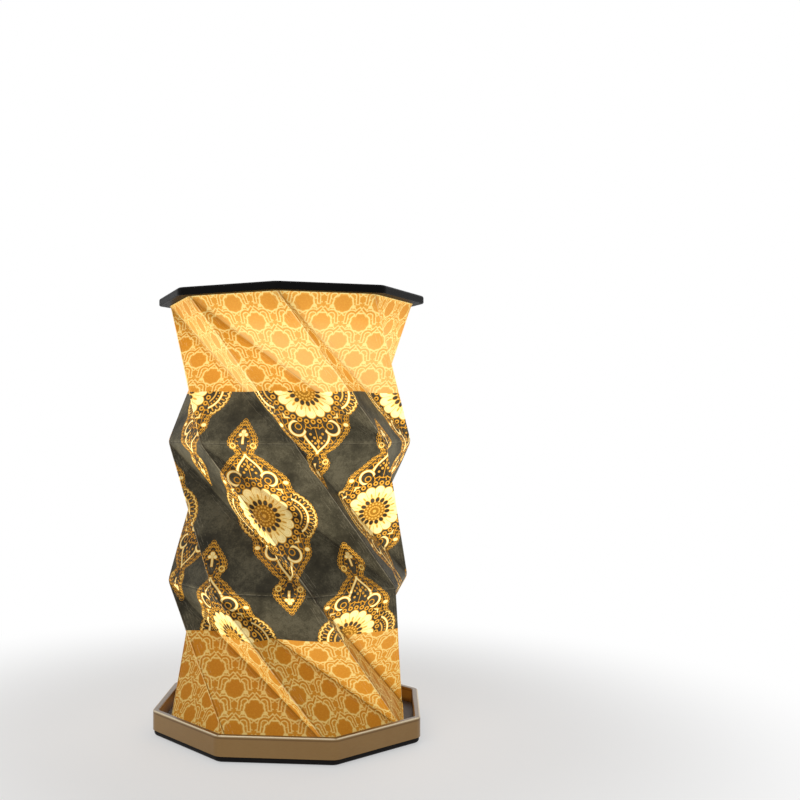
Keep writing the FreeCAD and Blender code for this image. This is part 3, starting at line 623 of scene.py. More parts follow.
# %% Medallion tip
def draw_tip(tone, x, y, spot):
    """The trefoil, the arch and the sprig that stands in it."""
    neck = inked(reach(place(x * 1.7, y), 0, 39.0) - 3.9)
    tone = paint(tone, neck, CHARCOAL + 0.04)
    trefoil = reach(spot, 0, 44.4).math("SUBTRACT", 1.05)
    trefoil = trefoil.least(reach(spot, 1.35, 42.9) - 0.85).least((x.most((y - 41.0).size() - 2.4)) - 0.42)
    side_curl = (reach(spot, 5.0, 37.2) - 1.2).size() - 0.35
    tone = paint(tone, inked(side_curl), PALE)
    tone = outlined(tone, trefoil)

    taper = ((y - 22.5) * 0.1).most(0.0)
    ogee = (x - (taper * taper * -1.0 + 1.0).most(0.0).math("POWER", 1.5) * 6.2) * 0.8
    window = ogee.most(y * -1.0 + 20.5)
    tone = paint(tone, inked(window), WINDOW)
    stalk = x.most((y - 25.5).size() - 4.6) - 0.22
    sprig = reach(spot, 0, 26.2) - 0.9
    for at_x, at_y, wide in SPRIG_BUDS:
        sprig = sprig.least(reach(spot, at_x, at_y) - wide)
    tone = paint(tone, inked(stalk.least(sprig)), GOLD + 0.05)
    arch = (ogee.size() - 0.42).most(y * -1.0 + 20.0).most(y - 33.0)
    return outlined(tone, arch)


# %% Medallion side
def draw_curl(tone, x, y, spot):
    """The curl beside the arch, two pointed leaves and a bud."""
    loop = reach(spot, 8.6, 19.6)
    tone = paint(tone, inked(loop - 3.7), WINDOW)
    tone = paint(tone, inked((reach(spot, 7.9, 18.7) - 1.5).size() - 0.32), GOLD)
    ring = ((loop - 3.7).size() - 0.5).most((x + y * 0.6) * -1.0 + 17.6)
    tone = outlined(tone, ring)

    for tip, arm in ((19.2, 3.9), (16.4, 3.4)):
        outward = (x + y) * DIAGONAL
        sideways = (x - y + 0.6).size() * DIAGONAL
        leaf = ((outward + sideways * 0.85 - tip).size() - 0.5).most(sideways - arm)
        tone = paint(tone, inked(leaf - 0.35), 0.45)
        tone = paint(tone, inked(leaf), PALE + 0.1)
    bud = reach(place((x - 16.4) * 0.75, y - 17.9)) - 0.95
    return outlined(tone, bud, 0.35)


def draw_fan(tone, x, y):
    """The fan of ribs at the side, with its beads and scallops."""
    fan_x = x - 13.2
    fan = reach(place(fan_x, y))
    fan_side = inked(y - 12.2) * (x - 16.9).above(0.0)
    fan_turn = y.math("ARCTAN2", fan_x).folded(HALF_RIB)
    tone = paint(tone, inked((fan - 12.9).most(fan * -1.0 + 4.4)) * fan_side, 0.05)
    comb = (fan_turn * fan - 0.36).most((fan - 11.3).size() - 1.1)
    tone = paint(tone, inked(comb) * fan_side, GOLD + 0.1)
    scallops = reach(place(fan - 12.4, fan_turn * fan)) - 1.2
    tone = paint(tone, inked((scallops - 0.1).size() - 0.3) * fan_side * fan.above(12.2), PALE)
    bead = reach(place(fan - 8.3, (fan_turn * -1.0 + HALF_RIB) * fan)) - 0.5
    tone = paint(tone, inked(bead) * fan_side, GOLD)
    core = (fan - 6.6).size() - 0.4
    tone = paint(tone, inked(core) * fan_side, GOLD + 0.15)
    return outlined(tone, (fan - 9.7).size() - 0.42, within=fan_side)


# %% [markdown]
# The middle is a rosette of sixteen petals. It is drawn round the centre:
# the angle is folded to half a petal, and lengths are measured along the
# radius and across it. Then the parts are laid over one another.

# %% Medallion rosette
def draw_rosette(tone, x, y, spot):
    """Beads, petals, dark drops and seeds round the middle."""
    radius = reach(spot)
    angle = y.math("ARCTAN2", x)
    swing = angle.folded(SECTOR)
    back = swing * -1.0 + SECTOR
    tone = paint(tone, inked((radius - 16.0).size() - 1.9), 0.04)
    bead = reach(place(radius - 16.5, angle.folded(SECTOR / 2) * radius)) - 1.3
    tone = paint(tone, inked(bead), GOLD + 0.04)
    tone = paint(tone, inked(bead + 0.75), BROWN)
    lobe = place(radius, swing * radius)
    petal = (radius - 12.2).least(reach(lobe, 12.2) - 2.75)
    tone = paint(tone, inked(petal - 0.4), BROWN)
    tone = paint(tone, inked(petal - 0.22), GOLD + 0.12)
    tone = paint(tone, inked(petal + 0.22), CREAM)
    tone = paint(tone, inked(radius - 10.0, 3.0) * inked(petal + 0.22) * 0.75, PALE)
    tone = paint(tone, inked((petal + 1.15).size() - 0.13) * 0.6, PALE)
    gap = (back * radius - 0.16).most(radius * -1.0 + 9.2).most(petal)
    tone = paint(tone, inked(gap) * 0.8, GOLD + 0.1)
    stroke = reach(place((radius - 9.9) * 0.4, swing * radius)) - 0.5
    tone = paint(tone, inked(stroke), GOLD + 0.08)
    dark_petal = reach(place((radius - 6.9) * 0.73, swing * radius)) - 0.95
    tone = paint(tone, inked(dark_petal - 0.28), GOLD)
    tone = paint(tone, inked(dark_petal), 0.06)
    tone = paint(tone, inked(radius - 5.5), 0.36)
    for seed_ring, dot, turn in ((4.4, 0.55, swing), (2.7, 0.42, back)):
        seed = reach(place(radius - seed_ring, turn * radius)) - dot
        tone = paint(tone, inked(seed), GOLD + 0.12)
    return paint(tone, inked(radius - 0.9), GOLD + 0.12)


def draw_medallion(across, up):
    """The tone of the medallion print, from charcoal at nothing to cream at one."""
    x = (across - MEDALLION_COLUMN).folded(MEDALLION_PITCH / 2)
    y = (up - MEDALLION_ROW).folded(MEDALLION_DROP / 2)
    other = (x * (2 / MEDALLION_PITCH) + y * (2 / MEDALLION_DROP)).above(1.0)
    x = x.choose(x * -1.0 + MEDALLION_PITCH / 2, other)
    y = y.choose(y * -1.0 + MEDALLION_DROP / 2, other)
    spot = place(x, y)
    tone = draw_border(x, y, spot)
    tone = draw_tip(tone, x, y, spot)
    tone = draw_curl(tone, x, y, spot)
    tone = draw_fan(tone, x, y)
    return draw_rosette(tone, x, y, spot)


# %% [markdown]
# The damask is a pointed fruit in a pale frame, with a pair of scrolls over
# it, repeated in rows that are set off by half. Its upper and lower halves
# differ, so the height keeps its sign while the width is folded.

# %% Damask
DAMASK_PITCH = sheet_width / MM / 20
DAMASK_DROP = 19.0
DAMASK_LOW = (7.2, 7.4)
DAMASK_HIGH = (4.65, 14.2)
DAMASK_GROUND = 0.44


def damask_motif(x, y):
    """One fruit with its frame and scrolls: masks of its veins, strokes and body."""
    spot = place(x, y)
    angle = y.math("ARCTAN2", x)
    tip = (x * 0.9 + y - 5.2) * 0.74
    fruit = (reach(place(x, y * 1.02)) - 4.0 + (angle * 9.0).math("SINE") * 0.16).most(tip)
    vein = (fruit - 0.85).size() - 0.38
    vein = vein.least(reach(place((x - 5.2) * 0.75, (y + 1.7) * 0.9)) - 0.85)
    vein = vein.least((x - 7.0 + (y + 3.6) * 0.75).size().most((y + 3.4).size() - 1.5) - 0.3)
    hook = (reach(spot, 4.4, 2.9) - 2.5).size().most(y * -1.0 + 2.6).most(x * -1.0 + 2.9)
    tail = (x - 6.95 + (y - 1.6) * 0.1).size().most((y - 1.5).size() - 1.3)
    rise = ((x + y - 7.5) * DIAGONAL).size().most(((y - x - 3.9) * DIAGONAL).size() - 1.35)
    stroke = hook.least(tail).least(rise)
    palm_spot = place(x * 0.78, y + 7.6)
    palm_angle = (y + 7.6).math("ARCTAN2", x)
    palm = reach(palm_spot) - 1.75 + (palm_angle * 6.0).math("COSINE") * 0.3
    return vein, stroke, fruit, palm


def draw_damask(across, up):
    """The tone of the damask, from the dark fruit at nothing to the veins at one."""
    high = up.above(MEDALLION_ROW)
    column = high * (DAMASK_HIGH[0] - DAMASK_LOW[0]) + DAMASK_LOW[0]
    row = high * (DAMASK_HIGH[1] - DAMASK_LOW[1]) + DAMASK_LOW[1]
    x = (across - column).folded(DAMASK_PITCH / 2)
    y = (up - row).math("WRAP", DAMASK_DROP / 2, -DAMASK_DROP / 2)
    far_y = (up - row + DAMASK_DROP / 2).math("WRAP", DAMASK_DROP / 2, -DAMASK_DROP / 2)
    near = damask_motif(x, y)
    far = damask_motif(x * -1.0 + DAMASK_PITCH / 2, far_y)
    vein, stroke, fruit, palm = (one.least(two) for one, two in zip(near, far))
    tone = inked(palm - 0.55, 0.5) * (0.92 - DAMASK_GROUND) + DAMASK_GROUND
    tone = paint(tone, inked(palm, 0.5), 0.36)
    tone = paint(tone, inked(stroke - 1.0, 0.45), 0.96)
    tone = paint(tone, inked(vein, 0.45), 1.0)
    tone = paint(tone, inked(stroke - 0.42, 0.45), 0.26)
    tone = paint(tone, inked(fruit + 0.1, 0.6), 0.27)
    seeds = texture(x.tree, "ShaderNodeTexVoronoi", place(across, up), "Distance",
                    {"Scale": 1.1, "Randomness": 1.0}, feature="F1", voronoi_dimensions="2D")
    return tone + (seeds - 0.45) * 0.3

# %% [markdown]
# The charcoal ground is brushed and cloudy, like suede: soft clouds a few
# centimetres wide, a smaller mottle, and a fine tooth. One group draws it all
# from the sheet's coordinates. It has two colours: the ink as the room's
# light shows it, with painted shade at the creases, and what the light
# inside shines through.

# %% Print group
TOP_BAND = 186.0
BOTTOM_BAND = 53.8
SLANT = 0.042
SLANT_ROW = 120.0

MEDALLION_INK = (
    (CHARCOAL, 0.024, 0.021, 0.014), (BROWN, 0.06, 0.022, 0.004), (GOLD, 0.36, 0.13, 0.008),
    (PALE, 0.54, 0.3, 0.06), (CREAM, 0.78, 0.54, 0.2),
)
MEDALLION_THROUGH = (
    (CHARCOAL, 0.115, 0.098, 0.058), (BROWN, 0.08, 0.026, 0.003), (GOLD, 1.0, 0.47, 0.045),
    (PALE, 1.0, 0.68, 0.18), (CREAM, 1.0, 0.83, 0.38),
)
DAMASK_INK = ((0, 0.21, 0.06, 0.003), (0.5, 0.28, 0.105, 0.008), (1, 0.52, 0.34, 0.1))
DAMASK_THROUGH = ((0, 0.72, 0.25, 0.014), (0.5, 0.84, 0.37, 0.035), (1, 1.0, 0.76, 0.27))
CLOUD_ON_INK = ((0, 0.2, 0.2, 0.2), (1, 1.0, 1.0, 1.0))
CLOUD_ON_GLOW = ((0, 0.25, 0.25, 0.25), (1, 1.0, 1.0, 1.0))
PALE_SUEDE = (0.15, 0.136, 0.095, 1)
RUBBED_INK = (0.56, 0.5, 0.38, 1)
RUBBED_THROUGH = (1.0, 0.7, 0.3, 1)
# Painted shade colours for the valley lines and the lines just past the ridges.
CREASE_SHADE = (0.012, 0.009, 0.006, 1)
VALLEY_THROUGH = (0.02, 0.006, 0.001, 1)
RIDGE_SHADE_THROUGH = (0.06, 0.018, 0.002, 1)
NO_LIGHT = (0, 0, 0, 1)

sheet_tree, _, send = new_group("sheet_print", {}, {
    "Ink": "Color", "Through": "Color", "Pale": "Float", "Gold": "Float",
    "Roughness": "Float", "Relief": "Float",
})
sheet_uv = sheet_tree.nodes.new("ShaderNodeUVMap")
sheet_uv.uv_map = "sheet"
sheet_u, sheet_v, _ = split(sheet_tree, sheet_uv.outputs["UV"])
sheet_spot = place(sheet_u, sheet_v)

across = sheet_u + (sheet_v - SLANT_ROW) * SLANT
medallion_tone = draw_medallion(across, sheet_v)
medallion_ink = ramp(medallion_tone, MEDALLION_INK)
medallion_through = ramp(medallion_tone, MEDALLION_THROUGH)
damask_tone = draw_damask(across, sheet_v)
damask_ink = ramp(damask_tone, DAMASK_INK)
damask_through = ramp(damask_tone, DAMASK_THROUGH)


def cloud(scale, detail=3.0, rough=0.6):
    return texture(sheet_tree, "ShaderNodeTexNoise", sheet_spot, "Fac",
                   {"Scale": scale, "Detail": detail, "Roughness": rough}, noise_dimensions="2D")


soft_cloud = cloud(0.055, 4.0, 0.62)
mottle = cloud(0.4, 3.0, 0.7)
tooth = cloud(2.6, 2.0, 0.6)
nap = cloud(1.3, 3.0, 0.75)
cloudy = (soft_cloud * 2.5 - 0.58).most(0.16) * (mottle * 1.3 + 0.3) * (nap * 1.5 + 0.25)
medallion_ink = mixed(medallion_ink, ramp(cloudy, CLOUD_ON_INK), 1.0, "MULTIPLY")
suede = inked(medallion_tone - 0.2, 0.2)
pale_suede = mixed(medallion_ink, PALE_SUEDE, (cloudy - 0.5).most(0.0) * suede * 0.45)
medallion_through = mixed(medallion_through, ramp(cloudy, CLOUD_ON_GLOW), suede, "MULTIPLY")
in_damask = inked((sheet_v - TOP_BAND) * -1.0).most(inked(sheet_v - BOTTOM_BAND))
ink = mixed(pale_suede, damask_ink, in_damask)
through = mixed(medallion_through, damask_through, in_damask)

# %% [markdown]
# The creases are straight lines on the flat sheet, so the distance to each is
# a folded coordinate times the height of its panel. Ridges are rubbed pale in
# a few broken lines, and less light comes through the valleys. Painted shade
# darkens the ink towards each valley, and draws a dark line along each valley
# and just past each ridge.

# %% Creases in the print
rise = sheet_v / (tier_flat / MM)
level_down = rise.math("FLOOR")
along = (sheet_u - rise * (ridge_lean / MM)) / (side_length / MM)
cell_area = side_length * tier_flat / MM
to_ridge = along.folded(0.5) * (cell_area / ridge_length)
to_valley = (along + rise - level_down).folded(0.5) * (cell_area / valley_length)
to_ring = rise.folded(0.5) * (tier_flat / MM)

waver = (cloud(0.12, 2.0) - 0.5) * 2.2
broken = inked(cloud(0.5, 2.0) * -1.0 + 0.42, 0.12)
sparse = inked(cloud(0.3, 3.0) * -1.0 + 0.5, 0.08)
ridge_line = inked((to_ridge + waver * 0.25).size() - 0.25, 0.35)
near_lines = (to_ridge + waver * 0.7 - 1.7).size()
near_lines = near_lines.least((to_ridge + waver - 3.1).size())
near_lines = near_lines.least((to_ridge - waver * 0.8 - 4.6).size())
rubbed = ridge_line * (broken * 0.7 + 0.3)
rubbed = rubbed.most(inked(near_lines - 0.08, 0.3) * sparse * 0.5)
valley_side = (to_valley + waver * 0.6 - 1.5).size().least((to_valley - waver - 2.8).size())
rubbed = rubbed.most(inked(valley_side - 0.06, 0.3) * sparse * 0.4)
ring_line = inked((to_ring + waver * 0.1).size() - 0.12, 0.3) * (broken * 0.6 + 0.2)
rubbed = rubbed.most(ring_line * 0.8)
# Painted shade: a dark line along each valley, in the ink and in the light that comes through.
valley_line = inked(to_valley - 0.16, 0.4) * (cloud(0.08, 2.0) * 1.6 - 0.25).most(0.0).least(1.0)
# Painted shade: a broken dark line just past each ridge, in the ink and in the light that comes through.
past_ridge = along.math("WRAP", 0.5, -0.5) * (cell_area / ridge_length) + waver * 0.12
ridge_shade_line = inked((past_ridge - 0.95).size() - 0.2, 0.45)
ridge_shade_line = ridge_shade_line * (cloud(0.15, 2.0) * 2.2 - 0.45).most(0.15).least(1.0)
fold_shade = (to_valley * 0.09 + 0.66).least(1.0)

ink = mixed(ink, RUBBED_INK, rubbed * 0.62)
ink = mixed(ink, CREASE_SHADE, valley_line * 0.85)
ink = mixed(ink, CREASE_SHADE, ridge_shade_line * 0.8)
# Painted shade: the ink darkens towards each valley.
ink = mixed(NO_LIGHT, ink, fold_shade * 0.4 + 0.6)
through = mixed(through, RUBBED_THROUGH, rubbed * (in_damask * 0.5 + 0.06))
through = mixed(through, VALLEY_THROUGH, valley_line * 0.85)
through = mixed(through, RIDGE_SHADE_THROUGH, ridge_shade_line * 0.8)
through = mixed(NO_LIGHT, through, fold_shade)
relief = tooth * 0.25 + mottle * 0.5 + rubbed * 0.4 - valley_line * 1.6
# The ink that goes out carries the painted crease shade.
send("Ink", ink)
send("Through", through)
pale_print = ((medallion_tone - 0.6) * 3.0).most(0.0).least(1.0) * (in_damask * -1.0 + 1.0)
send("Pale", pale_print)
send("Gold", in_damask.most(pale_print))
send("Roughness", (mottle - 0.5) * 0.16 + 0.62 - rubbed * 0.1)
send("Relief", relief + (to_ridge * 1.3).math("SINE") * 0.12)
print("print group", len(sheet_tree.nodes), "nodes")

# %% [markdown]
# ## The light inside
#
# The round diffuser under the lid shines down into the shade. How much light
# a place on the paper gets follows three simple laws: it fades with the
# square of the distance, it is strongest straight below the diffuser, and it
# needs the paper to face it. What bounces about inside the shade comes on
# top, nearly the same at every height. This light is painted into the paper's
# material as its glow, so it stays with the part in any scene.

# %% Glow group
diffuser_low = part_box("light_diffuser")[0]
LAMP_HEIGHT = diffuser_low.z
GLOW_REACH = 0.062
BOUNCE_LOW = 0.62
BOUNCE_HIGH = 0.6
DIRECT_SHARE = 1.2
FACING_SHARE = 0.85
EVEN_SHARE = 0.56

glow_tree, _, send = new_group("lamp_glow", {}, {"Glow": "Float"})
where = glow_tree.nodes.new("ShaderNodeTexCoord")


def vector_math(tree, operation, first, second=None, output="Vector"):
    node = tree.nodes.new("ShaderNodeVectorMath")
    node.operation = operation
    tree.links.new(first.socket, node.inputs[0])
    if isinstance(second, Field):
        tree.links.new(second.socket, node.inputs[1])
    elif second is not None:
        node.inputs[1].default_value = second
    return Field(tree, node.outputs[output])


spot_here = Field(glow_tree, where.outputs["Object"])
facing = Field(glow_tree, where.outputs["Normal"])
from_lamp = vector_math(glow_tree, "SUBTRACT", spot_here, (0, 0, LAMP_HEIGHT))
away = vector_math(glow_tree, "LENGTH", from_lamp, output="Value")
ray = vector_math(glow_tree, "NORMALIZE", from_lamp)
struck = vector_math(glow_tree, "DOT_PRODUCT", ray, facing, "Value").most(0.0)
downward = vector_math(glow_tree, "DOT_PRODUCT", ray, (0, 0, -1), "Value").most(0.0)
fade = (away * (1 / GLOW_REACH)).math("POWER", -2.0)
direct = (downward * 1.15 + 0.12).least(1.0) * struck * fade
level_up = vector_math(glow_tree, "DOT_PRODUCT", spot_here, (0, 0, 1 / LAMP_HEIGHT), "Value")
bounce = level_up * (BOUNCE_HIGH - BOUNCE_LOW) + BOUNCE_LOW
send("Glow", direct * DIRECT_SHARE + bounce * (struck * FACING_SHARE + EVEN_SHARE))
print("lamp height", round(LAMP_HEIGHT, 4), "glow group", len(glow_tree.nodes), "nodes")

# %% [markdown]
# The paper's material brings the two groups together. The ink is its base
# colour, and the colour that shines through, times the glow, is its emission.
# Where the glow is strongest the gold washes out towards a pale yellow.

# %% Paper material
HOT_START = 0.7
HOT_GAIN = 1.2
HOT_TINT = (1.0, 0.76, 0.32, 1)
HOT_SHARE = 0.36
GLOW_MOST = 1.1
PALE_GAIN = 0.45


def new_material(name):
    """A material, its node tree and its Principled shader."""
    material = bpy.data.materials.new(name)
    material.use_nodes = True
    tree = material.node_tree
    return material, tree, tree.nodes["Principled BSDF"]


def use_group(tree, name, **values):
    node = tree.nodes.new("ShaderNodeGroup")
    node.node_tree = bpy.data.node_groups[name]
    for title, value in values.items():
        node.inputs[title].default_value = value
    return {socket.name: Field(tree, socket) for socket in node.outputs}


def feed(shader, **fields):
    """Link fields to the shader's sockets."""
    for title, field in fields.items():
        field.tree.links.new(field.socket, shader.inputs[title.replace("_", " ")])


def bumped(tree, shader, height, distance):
    """Send a height through a Bump node to the shader's normal."""
    node = add_node(tree, "ShaderNodeBump", Distance=distance)
    tree.links.new(height.socket, node.inputs["Height"])
    tree.links.new(node.outputs["Normal"], shader.inputs["Normal"])


paper, tree, shader = new_material("printed_paper")
printed = use_group(tree, "sheet_print")
glow = use_group(tree, "lamp_glow")["Glow"]
hot = ((glow - HOT_START) * HOT_GAIN).most(0.0).least(1.0)
shine = mixed(printed["Through"], HOT_TINT, hot * printed["Gold"] * HOT_SHARE)
level = glow.least(GLOW_MOST) * (printed["Pale"] * PALE_GAIN + 1.0)
lit = vector_math(tree, "SCALE", shine)
tree.links.new(level.socket, lit.socket.node.inputs["Scale"])
feed(shader, Base_Color=printed["Ink"], Emission_Color=lit, Roughness=printed["Roughness"])
shader.inputs["Emission Strength"].default_value = 1.0
shader.inputs["Specular IOR Level"].default_value = 0.1
bumped(tree, shader, printed["Relief"], 0.12 * MM)
paper.cycles.emission_sampling = "NONE"
for tier in tiers:
    tier.data.materials.append(paper)
    print(tier.name, "wears", paper.name)

# %% [markdown]
# ## Finishes of the hard parts
#
# Metal keeps the marks of brushing or turning, moulded plastic has a fine
# grain, and everything varies a little in colour and gloss. One group makes
# that variation. Its stretch decides what it looks like: even for moulded
# grain, long in one direction for brushed metal.

# %% Finish group
GLOSS_SPREAD = 0.12

finish_tree, wants, send = new_group(
    "fine_finish",
    {"Main": "Color", "Other": "Color", "Scale": "Float", "Stretch": "Vector", "Gloss": "Float"},
    {"Color": "Color", "Roughness": "Float", "Height": "Float"},
)
finish_place = Field(finish_tree, finish_tree.nodes.new("ShaderNodeTexCoord").outputs["Object"])
stretched = vector_math(finish_tree, "MULTIPLY", finish_place, wants["Stretch"])
fine = texture(finish_tree, "ShaderNodeTexNoise", stretched, "Fac", {"Detail": 4.0, "Roughness": 0.65})
finish_tree.links.new(wants["Scale"].socket, fine.socket.node.inputs["Scale"])
broad = texture(finish_tree, "ShaderNodeTexNoise", finish_place, "Fac",
                {"Scale": 45.0, "Detail": 3.0, "Roughness": 0.6})
blend = ((fine * 0.7 + broad * 0.6 - 0.4) * 1.6).least(1.0).most(0.0)
send("Color", mixed(wants["Main"], wants["Other"], blend))
send("Roughness", (blend - 0.5) * GLOSS_SPREAD + wants["Gloss"])
send("Height", fine)
print("finish group", len(finish_tree.nodes), "nodes")


def finish(name, main, other, gloss, metal=0.0, scale=900.0, stretch=(1, 1, 1), relief=0.02, **sockets):
    """A material from the finish group, with the constants on its own shader."""
    material, tree, shader = new_material(name)
    made = use_group(tree, "fine_finish", Main=(*main, 1), Other=(*other, 1), Scale=scale,
                     Stretch=stretch, Gloss=gloss)
    feed(shader, Base_Color=made["Color"], Roughness=made["Roughness"])
    shader.inputs["Metallic"].default_value = metal
    for title, value in sockets.items():
        shader.inputs[title.replace("_", " ")].default_value = value
    bumped(tree, shader, made["Height"], relief * MM)
    return material, tree, shader, made


def dress(material, *names):
    """Give CAD nodes their material."""
    for name in names:
        mesh = nodes[name].data
        mesh.materials.clear()
        mesh.materials.append(material)
        print(name, "wears", material.name)


def coat(names, *look, **more):
    """Give CAD nodes a finish that needs nothing more."""
    dress(finish(*look, **more)[0], *names)


def object_fields(tree):
    """The object's own x, y and z in millimetres."""
    source = tree.nodes.new("ShaderNodeTexCoord")
    return [part * (1 / MM) for part in split(tree, source.outputs["Object"])]


# %% [markdown]
# The tray's frame is anodised aluminium in dark champagne. Its faces were
# brushed along their length. A pale line along the outer top edge is a painted
# highlight, and a dark line just below it is painted shade. The flat top is
# painted darker, as painted shade.

# %% Tray
frame_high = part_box("base_frame")[1]
rim, tree, shader, made = finish(
    "gold_anodised", (0.33, 0.2, 0.075), (0.26, 0.145, 0.05), 0.36, metal=0.75,
    scale=1500.0, stretch=(0.25, 0.25, 3.0), relief=0.008, Coat_Weight=0.15,
)
x_mm, y_mm, z_mm = object_fields(tree)
from_top = z_mm * -1.0 + frame_high.z / MM
flat_turn = y_mm.math("ARCTAN2", x_mm).folded(math.radians(HALF_SIDE)).math("COSINE")
inset = reach(place(x_mm, y_mm)) * flat_turn * -1.0 + frame_high.x / MM
# Painted highlight on the outer top edge, and painted shade in a line below it and on the flat top.
edge_highlight = inked(from_top - 0.55, 0.4) * inked(inset - 0.5, 0.4)
under_shade = inked((from_top - 1.25).size() - 0.28, 0.4) * 0.6
top_face_shade = inked(from_top - 0.3, 0.3) * inked(inset * -1.0 + 0.6, 0.4)
rim_colour = mixed(made["Color"], (0.1, 0.075, 0.055, 1), top_face_shade * 0.75)
rim_colour = mixed(rim_colour, (0.7, 0.6, 0.42, 1), edge_highlight * 0.85)
rim_colour = mixed(rim_colour, (0.1, 0.05, 0.02, 1), under_shade)
feed(shader, Base_Color=rim_colour)
dress(rim, "base_frame")

coat(("bottom_cover",), "black_cover", (0.012, 0.011, 0.011), (0.022, 0.02, 0.019), 0.5,
     scale=1400.0, relief=0.03, Specular_IOR_Level=0.06)
coat(("tray_floor",), "black_floor", (0.03, 0.022, 0.018), (0.05, 0.038, 0.03), 0.6,
     scale=700.0, relief=0.05)
coat(("rubber_feet",), "foot_rubber", (0.015, 0.015, 0.015), (0.03, 0.03, 0.029), 0.85,
     scale=1100.0, relief=0.06)
coat(("ballast_plate",), "ballast_steel", (0.42, 0.42, 0.43), (0.55, 0.55, 0.54), 0.4,
     metal=1.0, stretch=(0.2, 3, 1))
coat(("cover_screws", "lid_screws"), "screw_steel", (0.3, 0.3, 0.31), (0.42, 0.42, 0.42), 0.32,
     metal=1.0, scale=1600.0)

# %% [markdown]
# The lid is moulded in black plastic with a fine spark-eroded grain. Its flat
# top is the same plastic, so both wear one material.

# %% Lid
coat(("lid_shell", "lid_panel"), "black_lid", (0.003, 0.003, 0.003), (0.007, 0.0065, 0.006), 0.5,
     scale=2200.0, relief=0.025, Specular_IOR_Level=0.05)

# %% [markdown]
# The button was turned on a lathe: fine rings run round its axis, and the
# light draws two bright wedges on them. The sign on it is the usual one for
# power, a ring that is open on one side with a bar in the gap, and its open
# side faces the plate. The plate is a like bronze, brushed along its length.

# %% Button
button_low, button_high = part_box("power_button")
button_centre = (button_low + button_high) / 2 / MM
bronze_button, tree, shader, made = finish(
    "turned_bronze", (0.1, 0.043, 0.028), (0.14, 0.062, 0.04), 0.36,
    metal=0.9, scale=600.0, relief=0.004, Anisotropic=0.6,
)
x_mm, y_mm, z_mm = object_fields(tree)
disc = place(x_mm - button_centre.x, y_mm - button_centre.y)
from_axis = reach(disc)
rings = (from_axis * 11.0).math("SINE") * 0.5 + (from_axis * 29.0 + 0.7).math("SINE") * 0.5
SIGN_RADIUS, SIGN_HALF = 4.6, 0.36
PLATE_BEARING = math.radians(-67.5)
sign_up = x_mm * math.cos(PLATE_BEARING) + y_mm * math.sin(PLATE_BEARING)
sign_side = (y_mm * math.cos(PLATE_BEARING) - x_mm * math.sin(PLATE_BEARING)).size()
sign_gap = (sign_side * -1.0 + 1.9).least(sign_up)
sign_ring = ((from_axis - SIGN_RADIUS).size() - SIGN_HALF).most(sign_gap)
sign_bar = (sign_side - SIGN_HALF).most((sign_up - 2.4).size() - 2.6)
sign = inked(sign_ring.least(sign_bar), 0.12)
button_radius = (button_high.x - button_low.x) / MM / 2
crown_edge = inked((from_axis - button_radius + 0.6).size() - 0.35, 0.3)
button_colour = mixed(made["Color"], (0.012, 0.007, 0.005, 1), sign * 0.9)
button_colour = mixed(button_colour, (0.3, 0.17, 0.11, 1), crown_edge * 0.6)
feed(shader, Base_Color=button_colour, Roughness=made["Roughness"] + rings * 0.03 + sign * 0.25)
bumped(tree, shader, rings * 0.3 - sign * 6.0, 0.02 * MM)
dress(bronze_button, "power_button")

# %% Plate
plate_turn = math.radians(22.5)
bronze, tree, shader, made = finish(
    "bronze", (0.11, 0.048, 0.031), (0.085, 0.036, 0.024), 0.38, metal=0.9, scale=500.0, relief=0.003,
)
x_mm, y_mm, z_mm = object_fields(tree)
lengthways = x_mm * math.cos(plate_turn) + y_mm * math.sin(plate_turn)
crossways = y_mm * math.cos(plate_turn) - x_mm * math.sin(plate_turn)
brush = texture(tree, "ShaderNodeTexNoise", place(lengthways * 0.12, crossways * 6.0), "Fac",
                {"Scale": 3.0, "Detail": 3.0}, noise_dimensions="2D")
feed(shader, Base_Color=mixed(made["Color"], (0.17, 0.08, 0.05, 1), (brush - 0.35) * 1.2))
bumped(tree, shader, brush, 0.02 * MM)
dress(bronze, "badge_plate")
coat(("badge_pins",), "pin_dark", (0.03, 0.022, 0.018), (0.06, 0.045, 0.035), 0.4, metal=0.6, scale=1500.0)

# %% [markdown]
# ## The works under the lid
#
# Under the lid are a white housing with a milky diffuser, boards, a foil cell
# and its lead. The diffuser is lit from behind, so it glows warm white.

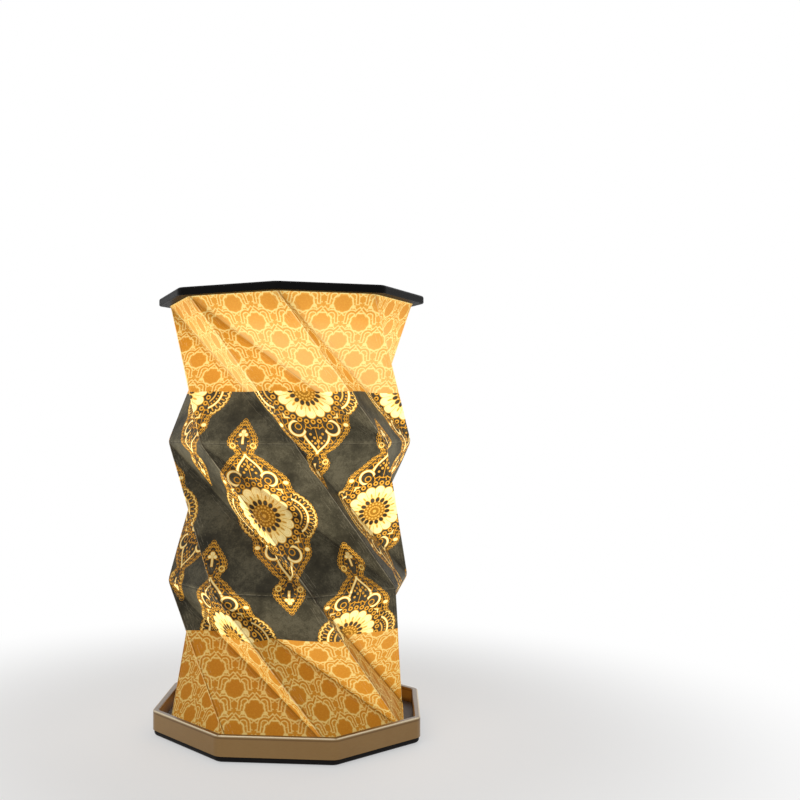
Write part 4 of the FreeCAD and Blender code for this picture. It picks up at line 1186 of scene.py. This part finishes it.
# %% Works
coat(("light_housing",), "white_housing", (0.78, 0.77, 0.74), (0.7, 0.69, 0.66), 0.42, scale=1300.0)
milky, tree, shader, made = finish("diffuser", (0.9, 0.86, 0.78), (0.84, 0.8, 0.72), 0.5, scale=800.0)
x_mm, y_mm, z_mm = object_fields(tree)
middle = (reach(place(x_mm, y_mm)) * -0.018 + 1.0).most(0.35)
feed(shader, Emission_Color=mixed(NO_LIGHT, (1.0, 0.74, 0.42, 1), middle))
shader.inputs["Emission Strength"].default_value = 1.0
dress(milky, "light_diffuser")


def board(name, main, other, copper):
    """A circuit board: lacquer over fine tracks that run at right angles."""
    material, tree, shader, made = finish(name, main, other, 0.35, scale=700.0)
    x_mm, y_mm, z_mm = object_fields(tree)
    tracks = texture(tree, "ShaderNodeTexBrick", place(x_mm, y_mm), "Fac",
                     {"Scale": 0.6, "Mortar Size": 0.06, "Brick Width": 1.4, "Row Height": 0.5})
    feed(shader, Base_Color=mixed(made["Color"], (*copper, 1), tracks * 0.6))
    bumped(tree, shader, tracks, 0.03 * MM)
    return material


green_board = board("green_board", (0.02, 0.12, 0.05), (0.015, 0.09, 0.035), (0.05, 0.24, 0.09))
dress(green_board, "control_board", "charge_board")
white_board = board("white_board", (0.8, 0.8, 0.78), (0.74, 0.74, 0.72), (0.68, 0.67, 0.62))
dress(white_board, "led_board")

# %% Light, cell and leads
coat(("led_chips",), "led_yellow", (0.9, 0.66, 0.14), (0.8, 0.55, 0.1), 0.4, scale=2500.0)
coat(("battery_cell",), "cell_foil", (0.62, 0.63, 0.65), (0.5, 0.51, 0.54), 0.3,
     metal=0.9, scale=260.0, relief=0.15)
coat(("battery_tape",), "tape_white", (0.8, 0.78, 0.72), (0.7, 0.68, 0.62), 0.75,
     scale=1800.0, stretch=(1, 4, 1), relief=0.06)
coat(("tact_switch", "switch_plunger"), "switch_black", (0.02, 0.02, 0.02),
     (0.035, 0.035, 0.035), 0.4, scale=2000.0)
coat(("usb_socket",), "socket_steel", (0.56, 0.57, 0.58), (0.66, 0.66, 0.66), 0.28,
     metal=1.0, stretch=(4, 4, 0.3))
coat(("flat_lead",), "lead_orange", (0.7, 0.2, 0.04), (0.6, 0.15, 0.03), 0.4,
     scale=600.0, stretch=(1, 8, 1))
coat(("lead_connector",), "connector_white", (0.82, 0.8, 0.74), (0.74, 0.72, 0.66), 0.45, scale=1500.0)
